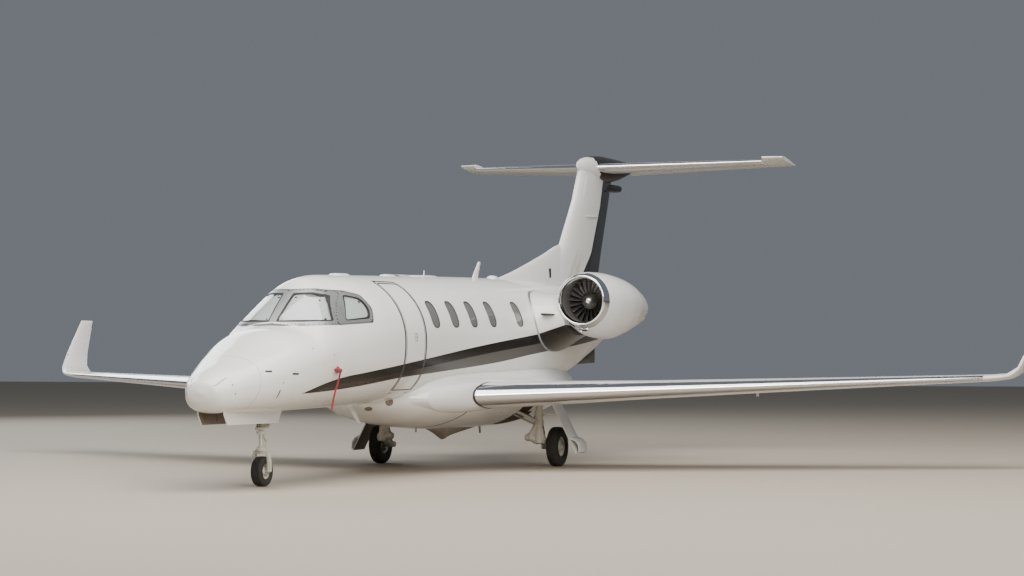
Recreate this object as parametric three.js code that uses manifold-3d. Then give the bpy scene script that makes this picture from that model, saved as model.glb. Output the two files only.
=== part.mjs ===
// A twin-engine light business jet, parked on its landing gear.
// Millimetres. +X is the pilot's left (port), -Y is forward, +Z is up, and z = 0 is the ground.
// A station is the distance aft of the nose tip, so that y = NOSE_Y + station.

import * as THREE from 'three';
import { mergeVertices } from 'three/addons/utils/BufferGeometryUtils.js';
import Module from 'manifold-3d';

const wasm = await Module();
wasm.setup();

// Driving dimensions.
const NOSE_Y = -7792; // the nose tip, so that y = 0 is half way along the aircraft
const SEAM = 0.3; // between two fixed pieces that touch
const MOVING_GAP = 7; // between a moving piece and a fixed one
const WALL = 80; // cabin wall, from outer skin to inner face
const TAIL_WALL = 22; // the same aft of the cabin
const RING_SIDES = 32; // sides of a fuselage section
const NACELLE_SIDES = 24; // sides of an engine section
const WHEEL_SIDES = 24;
const HUB_SHARE = 0.48; // a hub's width, as a share of its tyre's

// Fuselage sections. Each row: station, crown height, keel height, half breadth, height of the widest point,
// fullness above it and below it. A fullness of 2 is an ellipse, and more is squarer.
const FUSELAGE = [
  [0, 1172, 1168, 2, 1170, 2, 2],
  [40, 1294, 1053, 192, 1172, 2, 2.2],
  [140, 1360, 960, 270, 1165, 2, 2.4],
  [300, 1448, 928, 362, 1207, 2, 2.5],
  [600, 1568, 925, 480, 1262, 2.1, 2.5],
  [1050, 1757, 918, 622, 1365, 2.25, 2.5],
  [1500, 1935, 920, 724, 1465, 2.4, 2.5],
  [1800, 1990, 923, 765, 1530, 2.25, 2.5],
  [1900, 2085, 925, 772, 1550, 2.1, 2.5],
  [2320, 2418, 932, 797, 1600, 1.9, 2.5],
  [2600, 2600, 937, 812, 1665, 1.7, 2.5],
  [3000, 2650, 943, 843, 1725, 1.85, 2.5],
  [3500, 2664, 950, 868, 1765, 2, 2.5],
  [4300, 2680, 965, 876, 1810, 2, 2.5],
  [9300, 2768, 1052, 876, 1905, 2, 2.5],
  [10300, 2770, 1110, 850, 1940, 2, 2.3],
  [11200, 2740, 1255, 780, 1975, 2, 2],
  [12000, 2700, 1455, 670, 2020, 2, 1.9],
  [12800, 2660, 1665, 535, 2090, 2, 1.9],
  [13600, 2620, 1905, 380, 2200, 2, 1.9],
  [14200, 2580, 2130, 245, 2330, 2, 2],
  [14500, 2530, 2260, 140, 2390, 2, 2],
];
const RING_STATIONS = [
  4, 16, 40, 85, 140, 220, 320, 450, 620, 820, 1050, 1275, 1500, 1700, 1800, 1900, 2100, 2320, 2450, 2600, 2800,
  3000, 3250, 3550, 4300, 6800, 9300, 10300, 11200, 12000, 12800, 13600, 14200, 14500,
];
const RADOME_JOINT = [[570, 1100], [676, 1510]]; // station and height of two points on the radome's rear edge
const NOSE_JOINT = 1750; // nose section to cockpit shell
const CABIN_JOINT = 3550; // cockpit shell to cabin shell
const TAIL_JOINT = 9300; // cabin shell to tail cone
const FRONT_BULKHEAD = 1775; // the hollow cabin's front end
const REAR_BULKHEAD = 9275; // the hollow cabin's rear end
const TAIL_HOLLOW_END = 13500; // the hollow tail cone's rear end

// Belly fairing sections: station, top height, bottom height, half breadth, height of the widest point.
const FAIRING = [
  [4300, 1000, 930, 60, 965],
  [4600, 1290, 780, 560, 1030],
  [5100, 1420, 680, 880, 1060],
  [5800, 1470, 610, 1040, 1070],
  [6800, 1500, 565, 1100, 1060],
  [8400, 1540, 560, 1100, 1060],
  [9400, 1560, 660, 1010, 1130],
  [10300, 1520, 850, 800, 1200],
  [11000, 1440, 1030, 560, 1240],
  [11500, 1330, 1190, 160, 1260],
];

// Wing sections, root to winglet tip: x, station and height of the leading edge, chord, thickness ratio, cant.
const WING = [
  [820, 5675, 1048, 2905, 0.135, 0],
  [3000, 6838, 1128, 2062, 0.125, 0],
  [5200, 8010, 1209, 1450, 0.118, 0],
  [7420, 9195, 1290, 905, 0.11, 4],
  [7690, 9365, 1318, 860, 0.1, 25],
  [7825, 9560, 1430, 750, 0.09, 60],
  [7880, 9770, 1620, 640, 0.085, 78],
  [7945, 10330, 2185, 350, 0.08, 84],
];
const POLISHED_CHORD = 0.085; // share of the chord that the polished leading edge covers
const POLISHED_ENDS = [1135, 7400]; // x of the polished edge's root and tip
const FLAP_HINGE = [[1800, 0.75], [4700, 0.73]]; // x and share of the chord
const FLAP_PIVOT_DROP = 130; // the flap turns about a line this far below its front face
const AILERON_HINGE = [[4900, 0.76], [7050, 0.76]];
const AILERON_REST = { port: -7, starboard: 5 }; // degrees, trailing edge down is positive

// Tailplane sections, centre to tip: x, station and height of the leading edge, chord, thickness ratio, cant.
const TAILPLANE = [
  [0, 13330, 4745, 1480, 0.1, 0],
  [2600, 14600, 4862, 900, 0.09, 0],
  [2930, 14765, 4878, 820, 0.07, 0],
];
const ELEVATOR_HINGE = [[360, 0.64], [2930, 0.64]];
const HORN_ROOT = 2600; // outboard of this x the whole chord moves with the elevator
const HORN_GAP = 16;
const ELEVATOR_REST = 7; // degrees, trailing edge down

// Fin sections, bottom to top: height, leading edge station, chord, thickness ratio.
const FIN = [
  [2450, 10980, 2570, 0.06],
  [3370, 11930, 1970, 0.09],
  [4150, 12560, 1680, 0.1],
  [4700, 12860, 1600, 0.1],
];
const RUDDER_HINGE = [[2960, 0.71], [4420, 0.74]]; // height and share of the chord
// Its nose is rounder than the fin there by a share of the chord, so that its sides clear the fin.
const RUDDER = { bottom: 3000, top: 4370, gap: 26, over: 400, clear: 0.0045 };

// Hinge lugs, as shares of the hinge line's length, and the half thickness and length of a lug.
const LUG = { half: 7, radius: 15, arm: 110, shares: [0.14, 0.82] };
const FLAP_LUG = { half: 9, radius: 24, arm: 230, shares: [0.16, 0.84] };

// Dorsal fin and tail bullet, in the columns of the fuselage table.
const DORSAL = [
  [9250, 2775, 2500, 30, 2600],
  [9900, 2905, 2500, 62, 2600],
  [11100, 3190, 2500, 85, 2600],
  [11950, 3395, 2500, 95, 2600],
  [12500, 3420, 2500, 95, 2600],
];
const BULLET = [
  [12760, 4790, 4700, 15, 4745],
  [12950, 4860, 4610, 72, 4735],
  [13400, 4930, 4545, 118, 4745],
  [14000, 4965, 4525, 138, 4755],
  [14600, 4960, 4590, 128, 4785],
  [15100, 4950, 4695, 92, 4830],
  [15560, 4930, 4810, 30, 4870],
];
const VENTRAL_FIN = [[11900, 1340], [12700, 1460], [13560, 1480], [13560, 2000], [12200, 1740]];

// Engine: the nacelle's axis and its sections, distance aft of the lip, top, bottom and side radius.
const ENGINE = { x: 1540, station: 8750, z: 2425 };
const NACELLE = [
  [0, 357, 357, 357],
  [25, 378, 380, 378],
  [90, 396, 402, 392],
  [250, 420, 455, 424],
  [600, 425, 545, 466],
  [1000, 408, 565, 478],
  [1400, 378, 505, 452],
  [1800, 325, 405, 388],
  [2100, 278, 322, 325],
  [2300, 248, 268, 270],
];
const NACELLE_DROP = 90; // how far the nacelle's centre falls from its fan to its tail
const LIP_LENGTH = 95;
// The duct through the nacelle, distance aft of the lip and radius.
const DUCT = [
  [-20, 365], [0, 352], [35, 332], [95, 322], [300, 338], [420, 345], [730, 345], [880, 372], [1300, 350],
  [1800, 290], [2100, 235], [2350, 212],
];
// The core, in the same columns: its front ring sits in the duct, and its rear cone shows in the nozzle.
const CORE = [[560, 344.7], [720, 344.7], [740, 290], [1300, 245], [1900, 140], [2270, 20]];
const FAN = { front: 400, rear: 500, blades: 22 };
const HUB = [[270, 0], [300, 38], [350, 78], [410, 106], [445, 112], [500, 112], [500, 0]]; // distance aft of the lip, radius
const FAN_BLADE = [[95, 92, 28], [215, 104, 42], [337, 112, 57]]; // radius, chord, degrees from the axis
const PYLON = [
  [560, 8560, 2030, 2750, 0.4, 0],
  [1250, 8800, 2190, 2130, 0.26, 0],
];

// Landing gear.
const NOSE_WHEEL = { station: 1580, radius: 186, width: 150, rim: 95, bore: 16.5 };
const MAIN_WHEEL = { x: 1410, station: 8120, radius: 287, width: 172, rim: 140 };
const STEERING_STATION = 1555;
const NOSE_DOOR = { x: 167, thickness: 16, front: 270, rear: 1750, bottom: 785 };
const NOSE_BAY = { half: 165, front: 290, rear: 1730, top: 1180 };
const NOSE_LEG = { bottom: 690, crown: 400, arm: 92 };
const MAIN_LEG = { x: 1235, station: 7850, barrel: 400, radius: 52 };
const WELL = { x: 720, radius: 310, top: 790 };
const MAIN_DOOR = { top: [1400, 900], bottom: [1765, 195], front: 7920, rear: 8300, thickness: 18 };

// Entry door, hinged along its sill.
const DOOR = { front: 3980, rear: 4600, sill: 1120, top: 2585, corner: 90, foot: 200 };
const DOOR_HINGE = { x: 598, z: 1118, radius: 5.2, inset: 110 };
const DOOR_STEPS = [1330, 1610, 1890]; // heights of the treads on its inner face
const FLOOR = { top: 1104, thickness: 110, slope: 0.018 };
// Side outline of the instrument panel and the equipment ahead of it, station and height.
const PANEL = [[1780, 1400], [2080, 1400], [2180, 1640], [2270, 1690], [2330, 1960], [1780, 1960]];
const LINING = { front: 3550, thickness: 14, reveal: 40, paneDepth: 12 };

// Cabin windows, centre stations. Each is a rounded opening of this size.
const WINDOWS = { port: [5020, 5680, 6340, 7040, 8070], starboard: [4360, 5020, 5680, 6340, 7040, 8070] };
const WINDOW = { width: 270, height: 370, z: 2165, slope: 0.0145 };

// Cockpit openings on the port side. Windshield: x and height, as seen from ahead. Side window: station and height.
const WINDSHIELD = [[46, 2034], [400, 2030], [646, 2044], [448, 2378], [290, 2413], [62, 2402]];
const WINDSHIELD_REACH = [1600, 2650]; // stations that its opening is cut between
const SIDE_WINDOW = [[2518, 2050], [3095, 2086], [3165, 2225], [3108, 2350], [2798, 2392]];

// Blade antennas, station and height.
const ROOF_BLADE = [[8230, 2700], [8450, 2700], [8600, 2998], [8530, 3005]];
const BELLY_BLADE = [[3850, 1050], [4080, 1050], [4420, 712], [4350, 700]];

const FINISH = {
  white: { color: 0xf1f0ec, roughness: 0.22, metalness: 0 },
  polished: { color: 0xc9ccd0, roughness: 0.12, metalness: 1 },
  dark: { color: 0x2f2c2c, roughness: 0.3, metalness: 0 },
  glass: { color: 0xbcc9c6, roughness: 0.08, metalness: 0 },
  lining: { color: 0xcfc8bb, roughness: 0.8, metalness: 0 },
  titanium: { color: 0x6d6a68, roughness: 0.4, metalness: 0.9 },
  rubber: { color: 0x1c1c1d, roughness: 0.85, metalness: 0 },
  gearPaint: { color: 0xcdc8b8, roughness: 0.45, metalness: 0.1 },
};

const model = new THREE.Group();

// A point from a station, so that places read as they do on the aircraft.
const at = (x, station, z) => new THREE.Vector3(x, NOSE_Y + station, z);

function toSolid(geometry) {
  const bare = geometry.clone();
  bare.deleteAttribute('normal');
  bare.deleteAttribute('uv');
  const merged = mergeVertices(bare, 0.01);
  const index = merged.index.array;
  const corner = [0, 1, 2].map(() => new THREE.Vector3());
  const faces = [];
  let volume = 0;
  for (let i = 0; i < index.length; i += 3) {
    const [a, b, c] = [index[i], index[i + 1], index[i + 2]];
    if (a !== b && b !== c && c !== a) faces.push(a, b, c);
    [a, b, c].forEach((v, k) => corner[k].fromBufferAttribute(merged.attributes.position, v));
    volume += corner[0].dot(corner[1].cross(corner[2]));
  }
  if (volume < 0) faces.reverse(); // the faces pointed inward
  return new wasm.Manifold(new wasm.Mesh({
    numProp: 3,
    vertProperties: new Float32Array(merged.attributes.position.array),
    triVerts: new Uint32Array(faces),
  }));
}

function toGeometry(solid) {
  const mesh = solid.getMesh();
  const geometry = new THREE.BufferGeometry();
  geometry.setAttribute('position', new THREE.BufferAttribute(new Float32Array(mesh.vertProperties), 3));
  geometry.setIndex(new THREE.BufferAttribute(new Uint32Array(mesh.triVerts), 1));
  geometry.computeVertexNormals();
  return geometry;
}

function addPiece(name, solid, finish) {
  const tidy = solid.asOriginal().simplify(0.05); // flat faces that were cut apart become one again
  const mesh = new THREE.Mesh(toGeometry(tidy), new THREE.MeshStandardMaterial(FINISH[finish]));
  mesh.name = name;
  model.add(mesh);
}

const join = (solids) => solids.reduce((sum, next) => sum.add(next));

const mirrored = (solid) => solid.mirror([1, 0, 0]);

// A closed skin over a row of rings, each a loop of the same number of points.
function loft(rings) {
  const sides = rings[0].length;
  const points = rings.flat();
  const faces = [];
  for (let r = 0; r + 1 < rings.length; r += 1) {
    for (let i = 0; i < sides; i += 1) {
      const j = (i + 1) % sides;
      const [a, b, c, d] = [r * sides + i, r * sides + j, (r + 1) * sides + j, (r + 1) * sides + i];
      // The shorter diagonal, so that port and starboard come out alike.
      const shorter = points[a].distanceTo(points[c]) <= points[b].distanceTo(points[d]) + 1e-6;
      faces.push(...(shorter ? [a, b, c, a, c, d] : [a, b, d, b, c, d]));
    }
  }
  for (const [ring, flip] of [[0, true], [rings.length - 1, false]]) {
    const centre = new THREE.Vector3();
    rings[ring].forEach((point) => centre.addScaledVector(point, 1 / sides));
    points.push(centre);
    for (let i = 0; i < sides; i += 1) {
      const [a, b] = [ring * sides + i, ring * sides + ((i + 1) % sides)];
      faces.push(points.length - 1, flip ? b : a, flip ? a : b);
    }
  }
  const geometry = new THREE.BufferGeometry().setFromPoints(points);
  geometry.setIndex(faces);
  return toSolid(geometry);
}

// The value of one column of a table at a place, on a smooth curve that never overshoots its rows.
function column(table, index, place) {
  const last = table.length - 1;
  if (place <= table[0][0]) return table[0][index];
  if (place >= table[last][0]) return table[last][index];
  const k = table.findIndex((row) => row[0] > place) - 1;
  const slope = (i) => (table[i + 1][index] - table[i][index]) / (table[i + 1][0] - table[i][0]);
  const tangent = (i) => {
    if (i === 0) return slope(0);
    if (i === last) return slope(last - 1);
    const [before, after] = [slope(i - 1), slope(i)];
    return before * after <= 0 ? 0 : (2 * before * after) / (before + after);
  };
  const step = table[k + 1][0] - table[k][0];
  const t = (place - table[k][0]) / step;
  const [p, q] = [table[k][index], table[k + 1][index]];
  const [m, n] = [tangent(k) * step, tangent(k + 1) * step];
  return p + m * t + (3 * (q - p) - 2 * m - n) * t * t + (m + n - 2 * (q - p)) * t * t * t;
}

// One section of a rounded body from a section table, grown outward by `grow`.
function bodyRing(table, station, grow, sides) {
  const [crown, keel, half, wide] = [1, 2, 3, 4].map((index) => column(table, index, station));
  const [above, below] = table[0].length > 5 ? [5, 6].map((index) => column(table, index, station)) : [2, 2];
  const ring = [];
  for (let i = 0; i < sides; i += 1) {
    const angle = (i / sides) * 2 * Math.PI;
    const upper = Math.sin(angle) > 0;
    const power = 2 / (upper ? above : below);
    const [across, up] = [Math.cos(angle), Math.sin(angle)].map((v) => Math.sign(v) * Math.abs(v) ** power);
    const rise = (upper ? crown - wide : wide - keel) + grow;
    ring.push(at((half + grow) * across, station, wide + rise * up));
  }
  return ring;
}

function fuselageBody(grow = 0, from = 0, to = 1e6) {
  const stations = [from, ...RING_STATIONS.filter((s) => s > from + 1 && s < to - 1), to];
  const kept = stations.filter((s) => s >= RING_STATIONS[0] && s <= RING_STATIONS[RING_STATIONS.length - 1]);
  return loft(kept.map((station) => bodyRing(FUSELAGE, station, grow, RING_SIDES)));
}

function block(low, high) {
  const size = high.map((value, i) => value - low[i]);
  const box = new THREE.BoxGeometry(...size);
  box.translate(low[0] + size[0] / 2, low[1] + size[1] / 2, low[2] + size[2] / 2);
  return toSolid(box);
}

// A block between two stations, with its sides in x and z.
const stationBlock = (x0, x1, s0, s1, z0, z1) => block([x0, NOSE_Y + s0, z0], [x1, NOSE_Y + s1, z1]);

// A round bar or cone between two points.
function rod(start, end, radius, endRadius = radius, sides = 16) {
  const along = end.clone().sub(start);
  const bar = new THREE.CylinderGeometry(endRadius, radius, along.length(), sides);
  const turn = new THREE.Quaternion().setFromUnitVectors(new THREE.Vector3(0, 1, 0), along.clone().normalize());
  bar.applyQuaternion(turn);
  bar.translate(...start.clone().addScaledVector(along, 0.5).toArray());
  return toSolid(bar);
}

// A turned piece about a line along X through a centre. The profile gives [distance along X, radius].
function turned(profile, centre, sides) {
  const lathe = new THREE.LatheGeometry(profile.map(([x, r]) => new THREE.Vector2(r, x)), sides);
  lathe.rotateZ(-Math.PI / 2);
  lathe.translate(...centre.toArray());
  return toSolid(lathe);
}

// A flat outline of [station, z] points, with its thickness along X.
function sidePlate(outline, x0, x1) {
  const shape = new THREE.Shape(outline.map(([station, z]) => new THREE.Vector2(NOSE_Y + station, z)));
  return sideShape(shape, x0, x1);
}

function sideShape(shape, x0, x1) {
  const plate = new THREE.ExtrudeGeometry(shape, { depth: x1 - x0, bevelEnabled: false, curveSegments: 3 });
  plate.rotateX(Math.PI / 2);
  plate.rotateZ(Math.PI / 2);
  plate.translate(x0, 0, 0);
  return toSolid(plate);
}

// An outline with rounded corners, as a shape in station and z.
function roundedOutline(corners, radius) {
  const points = corners.map(([station, z]) => new THREE.Vector2(NOSE_Y + station, z));
  const shape = new THREE.Shape();
  points.forEach((corner, i) => {
    const before = points[(i + points.length - 1) % points.length];
    const after = points[(i + 1) % points.length];
    const enter = corner.clone().add(before.clone().sub(corner).setLength(radius));
    const leave = corner.clone().add(after.clone().sub(corner).setLength(radius));
    if (i === 0) shape.moveTo(enter.x, enter.y);
    else shape.lineTo(enter.x, enter.y);
    shape.quadraticCurveTo(corner.x, corner.y, leave.x, leave.y);
  });
  shape.closePath();
  return shape;
}

// An aerofoil section: chord along +Y, thickness along the canted normal.
const CHORD_STEPS = [1, 0.72, 0.45, 0.22, 0.08, 0.02, 0];
const halfThickness = (c) => 5 * (0.2969 * Math.sqrt(c) - 0.126 * c - 0.3516 * c ** 2 + 0.2843 * c ** 3 - 0.1 * c ** 4);

function aerofoilRing([x, station, z, chord, ratio, cant], grow = 0) {
  const tilt = THREE.MathUtils.degToRad(cant);
  const half = (c) => (halfThickness(c) * ratio + 0.0015) * chord + grow;
  const upper = CHORD_STEPS.map((c) => [c, half(c)]);
  const lower = CHORD_STEPS.slice(0, -1).reverse().map((c) => [c, -half(c)]);
  return [...upper, ...lower].map(([c, t]) => at(
    x - Math.sin(tilt) * t,
    station - grow + c * (chord + 2 * grow),
    z + Math.cos(tilt) * t,
  ));
}

// Everything behind a hinge line, square to it at both ends. `front` moves its front face forward.
function behindHinge(start, end, grow, front = 0) {
  const along = end.clone().sub(start).normalize();
  const aft = new THREE.Vector3(0, 1, 0);
  aft.addScaledVector(along, -aft.dot(along)).normalize();
  const across = new THREE.Vector3().crossVectors(along, aft);
  const [length, depth, width] = [start.distanceTo(end) + 2 * grow, 1300, 900];
  const box = new THREE.BoxGeometry(length, depth + front, width);
  box.translate(length / 2 - grow, (depth - front) / 2, 0);
  box.applyMatrix4(new THREE.Matrix4().makeBasis(along, aft, across));
  box.translate(...start.toArray());
  return toSolid(box);
}

// The same with a round nose about the hinge line, as thick as the surface there.
function roundNosed(start, end, startRadius, endRadius, grow) {
  const along = end.clone().sub(start).setLength(grow);
  const nose = rod(start.clone().sub(along), end.clone().add(along), startRadius + grow, endRadius + grow, 20);
  return behindHinge(start, end, grow).add(nose);
}

// A plate square to a hinge line at a share of its length. The outline is in distances aft of the line and above it.
function hingePlate(outline, [start, end], share, from, to) {
  const along = end.clone().sub(start).normalize();
  const aft = new THREE.Vector3(0, 1, 0).addScaledVector(along, -along.y).normalize();
  const up = new THREE.Vector3().crossVectors(along, aft);
  const shape = new THREE.Shape(outline.map(([a, b]) => new THREE.Vector2(a, b)));
  const plate = new THREE.ExtrudeGeometry(shape, { depth: to - from, bevelEnabled: false });
  plate.translate(0, 0, from);
  plate.applyMatrix4(new THREE.Matrix4().makeBasis(aft, up, along));
  plate.translate(...start.clone().lerp(end, share).toArray());
  return toSolid(plate);
}

// The outline of a lug that reaches back to the hinge line and ends in a half round.
function lugOutline({ radius, arm }) {
  const steps = [-90, -54, -18, 18, 54, 90].map(THREE.MathUtils.degToRad);
  return [[-arm, -radius], ...steps.map((t) => [radius * Math.cos(t), radius * Math.sin(t)]), [-arm, radius]];
}

// Lugs on the fixed surface, and the slots in the moving one that they lie in.
const lugs = (ends) => LUG.shares.map((share) => hingePlate(lugOutline(LUG), ends, share, -LUG.half, LUG.half));

function lugSlots([start, end], startRadius, endRadius) {
  return LUG.shares.map((share) => {
    const middle = start.clone().lerp(end, share);
    const half = end.clone().sub(start).setLength(LUG.half + SEAM);
    const radius = THREE.MathUtils.lerp(startRadius, endRadius, share) + 3;
    return rod(middle.clone().sub(half), middle.clone().add(half), radius, radius, 20);
  });
}

// Turns a solid about a line through a point.
function turnAbout(solid, point, axis, degrees) {
  const geometry = toGeometry(solid);
  geometry.translate(-point.x, -point.y, -point.z);
  geometry.applyQuaternion(new THREE.Quaternion().setFromAxisAngle(axis, THREE.MathUtils.degToRad(degrees)));
  geometry.translate(point.x, point.y, point.z);
  return toSolid(geometry);
}

// The value of a wing column at an x.
const wingRow = (table, x) => [x, ...[1, 2, 3, 4].map((index) => {
  const k = Math.max(0, table.findIndex((row) => row[0] > x) - 1);
  const t = (x - table[k][0]) / (table[k + 1][0] - table[k][0]);
  return table[k][index] + t * (table[k + 1][index] - table[k][index]);
})];

// A point on a surface's chord line at an x, and the section's half thickness there.
function chordPoint(table, x, share) {
  const [, station, z, chord, ratio] = wingRow(table, x);
  return { point: at(x, station + share * chord, z), half: halfThickness(share) * ratio * chord };
}

// Fuselage.

const whole = fuselageBody();
const sectionOf = (from, to) => whole.intersect(stationBlock(-1500, 1500, from, to, 0, 4000));

function cabinWindowCutter(station, side, grow) {
  const z = WINDOW.z + (station - WINDOWS.port[0]) * WINDOW.slope;
  const [w, h] = [WINDOW.width / 2 + grow, WINDOW.height / 2 + grow];
  const corners = [[station - w, z - h], [station + w, z - h], [station + w, z + h], [station - w, z + h]];
  const shape = roundedOutline(corners, w * 0.9);
  return side === 'port' ? sideShape(shape, 400, 1100) : sideShape(shape, -1100, -400);
}

// An outline with each corner moved away from the middle.
function spread(outline, grow) {
  const middle = [0, 1].map((k) => outline.reduce((sum, point) => sum + point[k], 0) / outline.length);
  return outline.map(([a, b]) => {
    const away = new THREE.Vector2(a - middle[0], b - middle[1]);
    away.setLength(away.length() + grow);
    return [middle[0] + away.x, middle[1] + away.y];
  });
}

// The openings of the port half of the cockpit, by the name of the pane that fills each.
function cockpitCutters(grow) {
  const front = new THREE.Shape(spread(WINDSHIELD, grow).map(([x, z]) => new THREE.Vector2(x, z)));
  const [first, last] = WINDSHIELD_REACH;
  const ahead = new THREE.ExtrudeGeometry(front, { depth: last - first, bevelEnabled: false });
  ahead.rotateX(Math.PI / 2);
  ahead.translate(0, NOSE_Y + last, 0);
  return {
    windshield: toSolid(ahead),
    side_window: sideShape(roundedOutline(spread(SIDE_WINDOW, grow), 60), 300, 1000),
  };
}

function doorCutter(grow) {
  const [front, rear, sill, top] = [DOOR.front - grow, DOOR.rear + grow, DOOR.sill - grow, DOOR.top + grow];
  const corners = [[front, sill], [rear, sill], [rear, top], [front, top]];
  const foot = [[front, sill], [rear, sill], [rear, sill + DOOR.foot], [front, sill + DOOR.foot]];
  // Its lower corners are square, so that they clear the sill as it swings down.
  return sideShape(roundedOutline(corners, DOOR.corner + grow), 100, 1200).add(sidePlate(foot, 100, 1200));
}

const floorTop = (station) => FLOOR.top + (station - DOOR.front) * FLOOR.slope;

function buildFuselage() {
  const bay = stationBlock(-NOSE_BAY.half, NOSE_BAY.half, NOSE_BAY.front, NOSE_BAY.rear, 500, NOSE_BAY.top);
  const [[lowStation, lowZ], [highStation, highZ]] = RADOME_JOINT;
  const jointAt = (z) => lowStation + ((z - lowZ) * (highStation - lowStation)) / (highZ - lowZ);
  const ahead = (gap) => sidePlate([[-400, 500], [jointAt(500) + gap, 500], [jointAt(2500) + gap, 2500],
    [-400, 2500]], -1500, 1500);
  addPiece('radome', whole.intersect(ahead(0)).subtract(bay), 'white');
  addPiece('nose_section', sectionOf(-10, NOSE_JOINT - SEAM).subtract(ahead(SEAM)).subtract(bay), 'white');

  const cavity = fuselageBody(-WALL, FRONT_BULKHEAD, REAR_BULKHEAD);
  // Ahead of the hinge pin the sill's inner edge is cut back, where it reaches inboard of the hinge line.
  const sillRelief = stationBlock(
    400, DOOR_HINGE.x + 1.5, DOOR.front - MOVING_GAP, DOOR.front + DOOR_HINGE.inset - 10, DOOR.sill - 15, DOOR.sill,
  );
  const openings = [doorCutter(MOVING_GAP), sillRelief];
  for (const side of ['port', 'starboard']) {
    for (const station of WINDOWS[side]) openings.push(cabinWindowCutter(station, side, 0));
  }
  for (const cutter of Object.values(cockpitCutters(0))) openings.push(cutter, mirrored(cutter));
  const shell = (from, to) => openings.reduce((body, cutter) => body.subtract(cutter), sectionOf(from, to).subtract(cavity));
  addPiece('cockpit_shell', shell(NOSE_JOINT, CABIN_JOINT - SEAM), 'white');
  addPiece('cabin_shell', shell(CABIN_JOINT, TAIL_JOINT - SEAM), 'white');
  const tailHollow = fuselageBody(-TAIL_WALL, TAIL_JOINT - 50, TAIL_HOLLOW_END);
  addPiece('tail_cone', sectionOf(TAIL_JOINT, 15000).subtract(tailHollow), 'white');

  // The door is the same wall, with treads on its inner face and a hinge pin along its sill.
  const treads = DOOR_STEPS.map((z) => stationBlock(
    500 + (z - DOOR_STEPS[0]) * 0.15, 900, DOOR.front + 70, DOOR.rear - 70, z, z + 32,
  ).intersect(fuselageBody(20 - WALL, DOOR.front - 400, DOOR.rear + 400)));
  const pin = rod(
    at(DOOR_HINGE.x, DOOR.front + DOOR_HINGE.inset, DOOR_HINGE.z),
    at(DOOR_HINGE.x, DOOR.rear - DOOR_HINGE.inset, DOOR_HINGE.z), DOOR_HINGE.radius,
  );
  const panel = whole.subtract(cavity).intersect(doorCutter(0));
  addPiece('entry_door', join([panel, ...treads, pin]), 'white');

  const [first, last] = [FRONT_BULKHEAD + SEAM, REAR_BULKHEAD - SEAM];
  const floor = sidePlate([[first, floorTop(first) - FLOOR.thickness], [last, floorTop(last) - FLOOR.thickness],
    [last, floorTop(last)], [first, floorTop(first)]], -1000, 1000);
  const inside = fuselageBody(-WALL - SEAM, FRONT_BULKHEAD + SEAM, REAR_BULKHEAD);
  addPiece('cabin_floor', floor.intersect(inside), 'lining');
  addPiece('instrument_panel', sidePlate(PANEL, -1000, 1000).intersect(inside), 'dark');
}

// Panes lie in their openings, a little under the skin.
function buildCockpitPanes() {
  const [depth, thickness] = [5, 18];
  const skin = fuselageBody(-depth, 1700, 3300).subtract(fuselageBody(-depth - thickness, 1600, 3400));
  for (const [name, cutter] of Object.entries(cockpitCutters(-SEAM * 2))) {
    const pane = skin.intersect(cutter);
    addPiece(`${name}_port`, pane, 'glass');
    addPiece(`${name}_starboard`, mirrored(pane), 'glass');
  }
}

// The side walls' lining carries the cabin windows' panes, which stand out into their openings.
function buildCabinLining() {
  const [first, last] = [LINING.front, REAR_BULKHEAD - SEAM];
  const shell = (outer, inner) => fuselageBody(outer, first, last).subtract(fuselageBody(inner, first - 50, last + 50));
  const above = sidePlate([[first, floorTop(first) + SEAM], [last, floorTop(last) + SEAM], [last, 4000],
    [first, 4000]], -1000, 1000);
  let lining = shell(-WALL - SEAM, -WALL - LINING.thickness).intersect(above).subtract(doorCutter(LINING.reveal));
  const deep = shell(-LINING.paneDepth, -WALL - LINING.thickness / 2);
  for (const side of ['port', 'starboard']) {
    for (const station of WINDOWS[side]) lining = lining.add(deep.intersect(cabinWindowCutter(station, side, -SEAM)));
  }
  addPiece('cabin_lining', lining, 'lining');
}

function fairingBody(grow = 0) {
  return loft(FAIRING.map(([station]) => bodyRing(FAIRING, station, grow, RING_SIDES)));
}

const wingBody = (grow = 0) => loft(WING.map((row) => aerofoilRing(row, grow)));

// The recess that the raised wheel and leg lie in.
function wheelWell() {
  const { x, station } = MAIN_LEG;
  const wheel = rod(at(WELL.x, MAIN_WHEEL.station, 300), at(WELL.x, MAIN_WHEEL.station, WELL.top), WELL.radius, WELL.radius, 20);
  return wheel.add(stationBlock(WELL.x, x + 90, station - 90, MAIN_WHEEL.station + 60, 300, WELL.top + 150));
}

function buildBelly() {
  const body = fairingBody().subtract(fuselageBody(SEAM)).subtract(wheelWell()).subtract(mirrored(wheelWell()));
  addPiece('belly_fairing', body, 'white');
}

// Wings.

// The flap's brackets: an arm under the wing and one under the flap, side by side at the pivot line below.
function flapBrackets(line) {
  const { half, radius, arm } = FLAP_LUG;
  const low = -FLAP_PIVOT_DROP;
  const foot = [-54, -18, 18, 54].map(THREE.MathUtils.degToRad);
  const round = foot.map((t) => [radius * Math.sin(t), low - radius * Math.cos(t)]);
  const onWing = [[-arm, 20], ...round, [radius, low], [-12, -95], [-12, 20]];
  const onFlap = [...round, [arm, -10], [arm, 0], [30, 0], [4, -95], [-radius, low]];
  const plates = (outline, from, to) => FLAP_LUG.shares.map((share) => hingePlate(outline, line, share, from, to));
  return [plates(onWing, -2 * half, 0), plates(onFlap, SEAM, 2 * half)];
}

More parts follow.
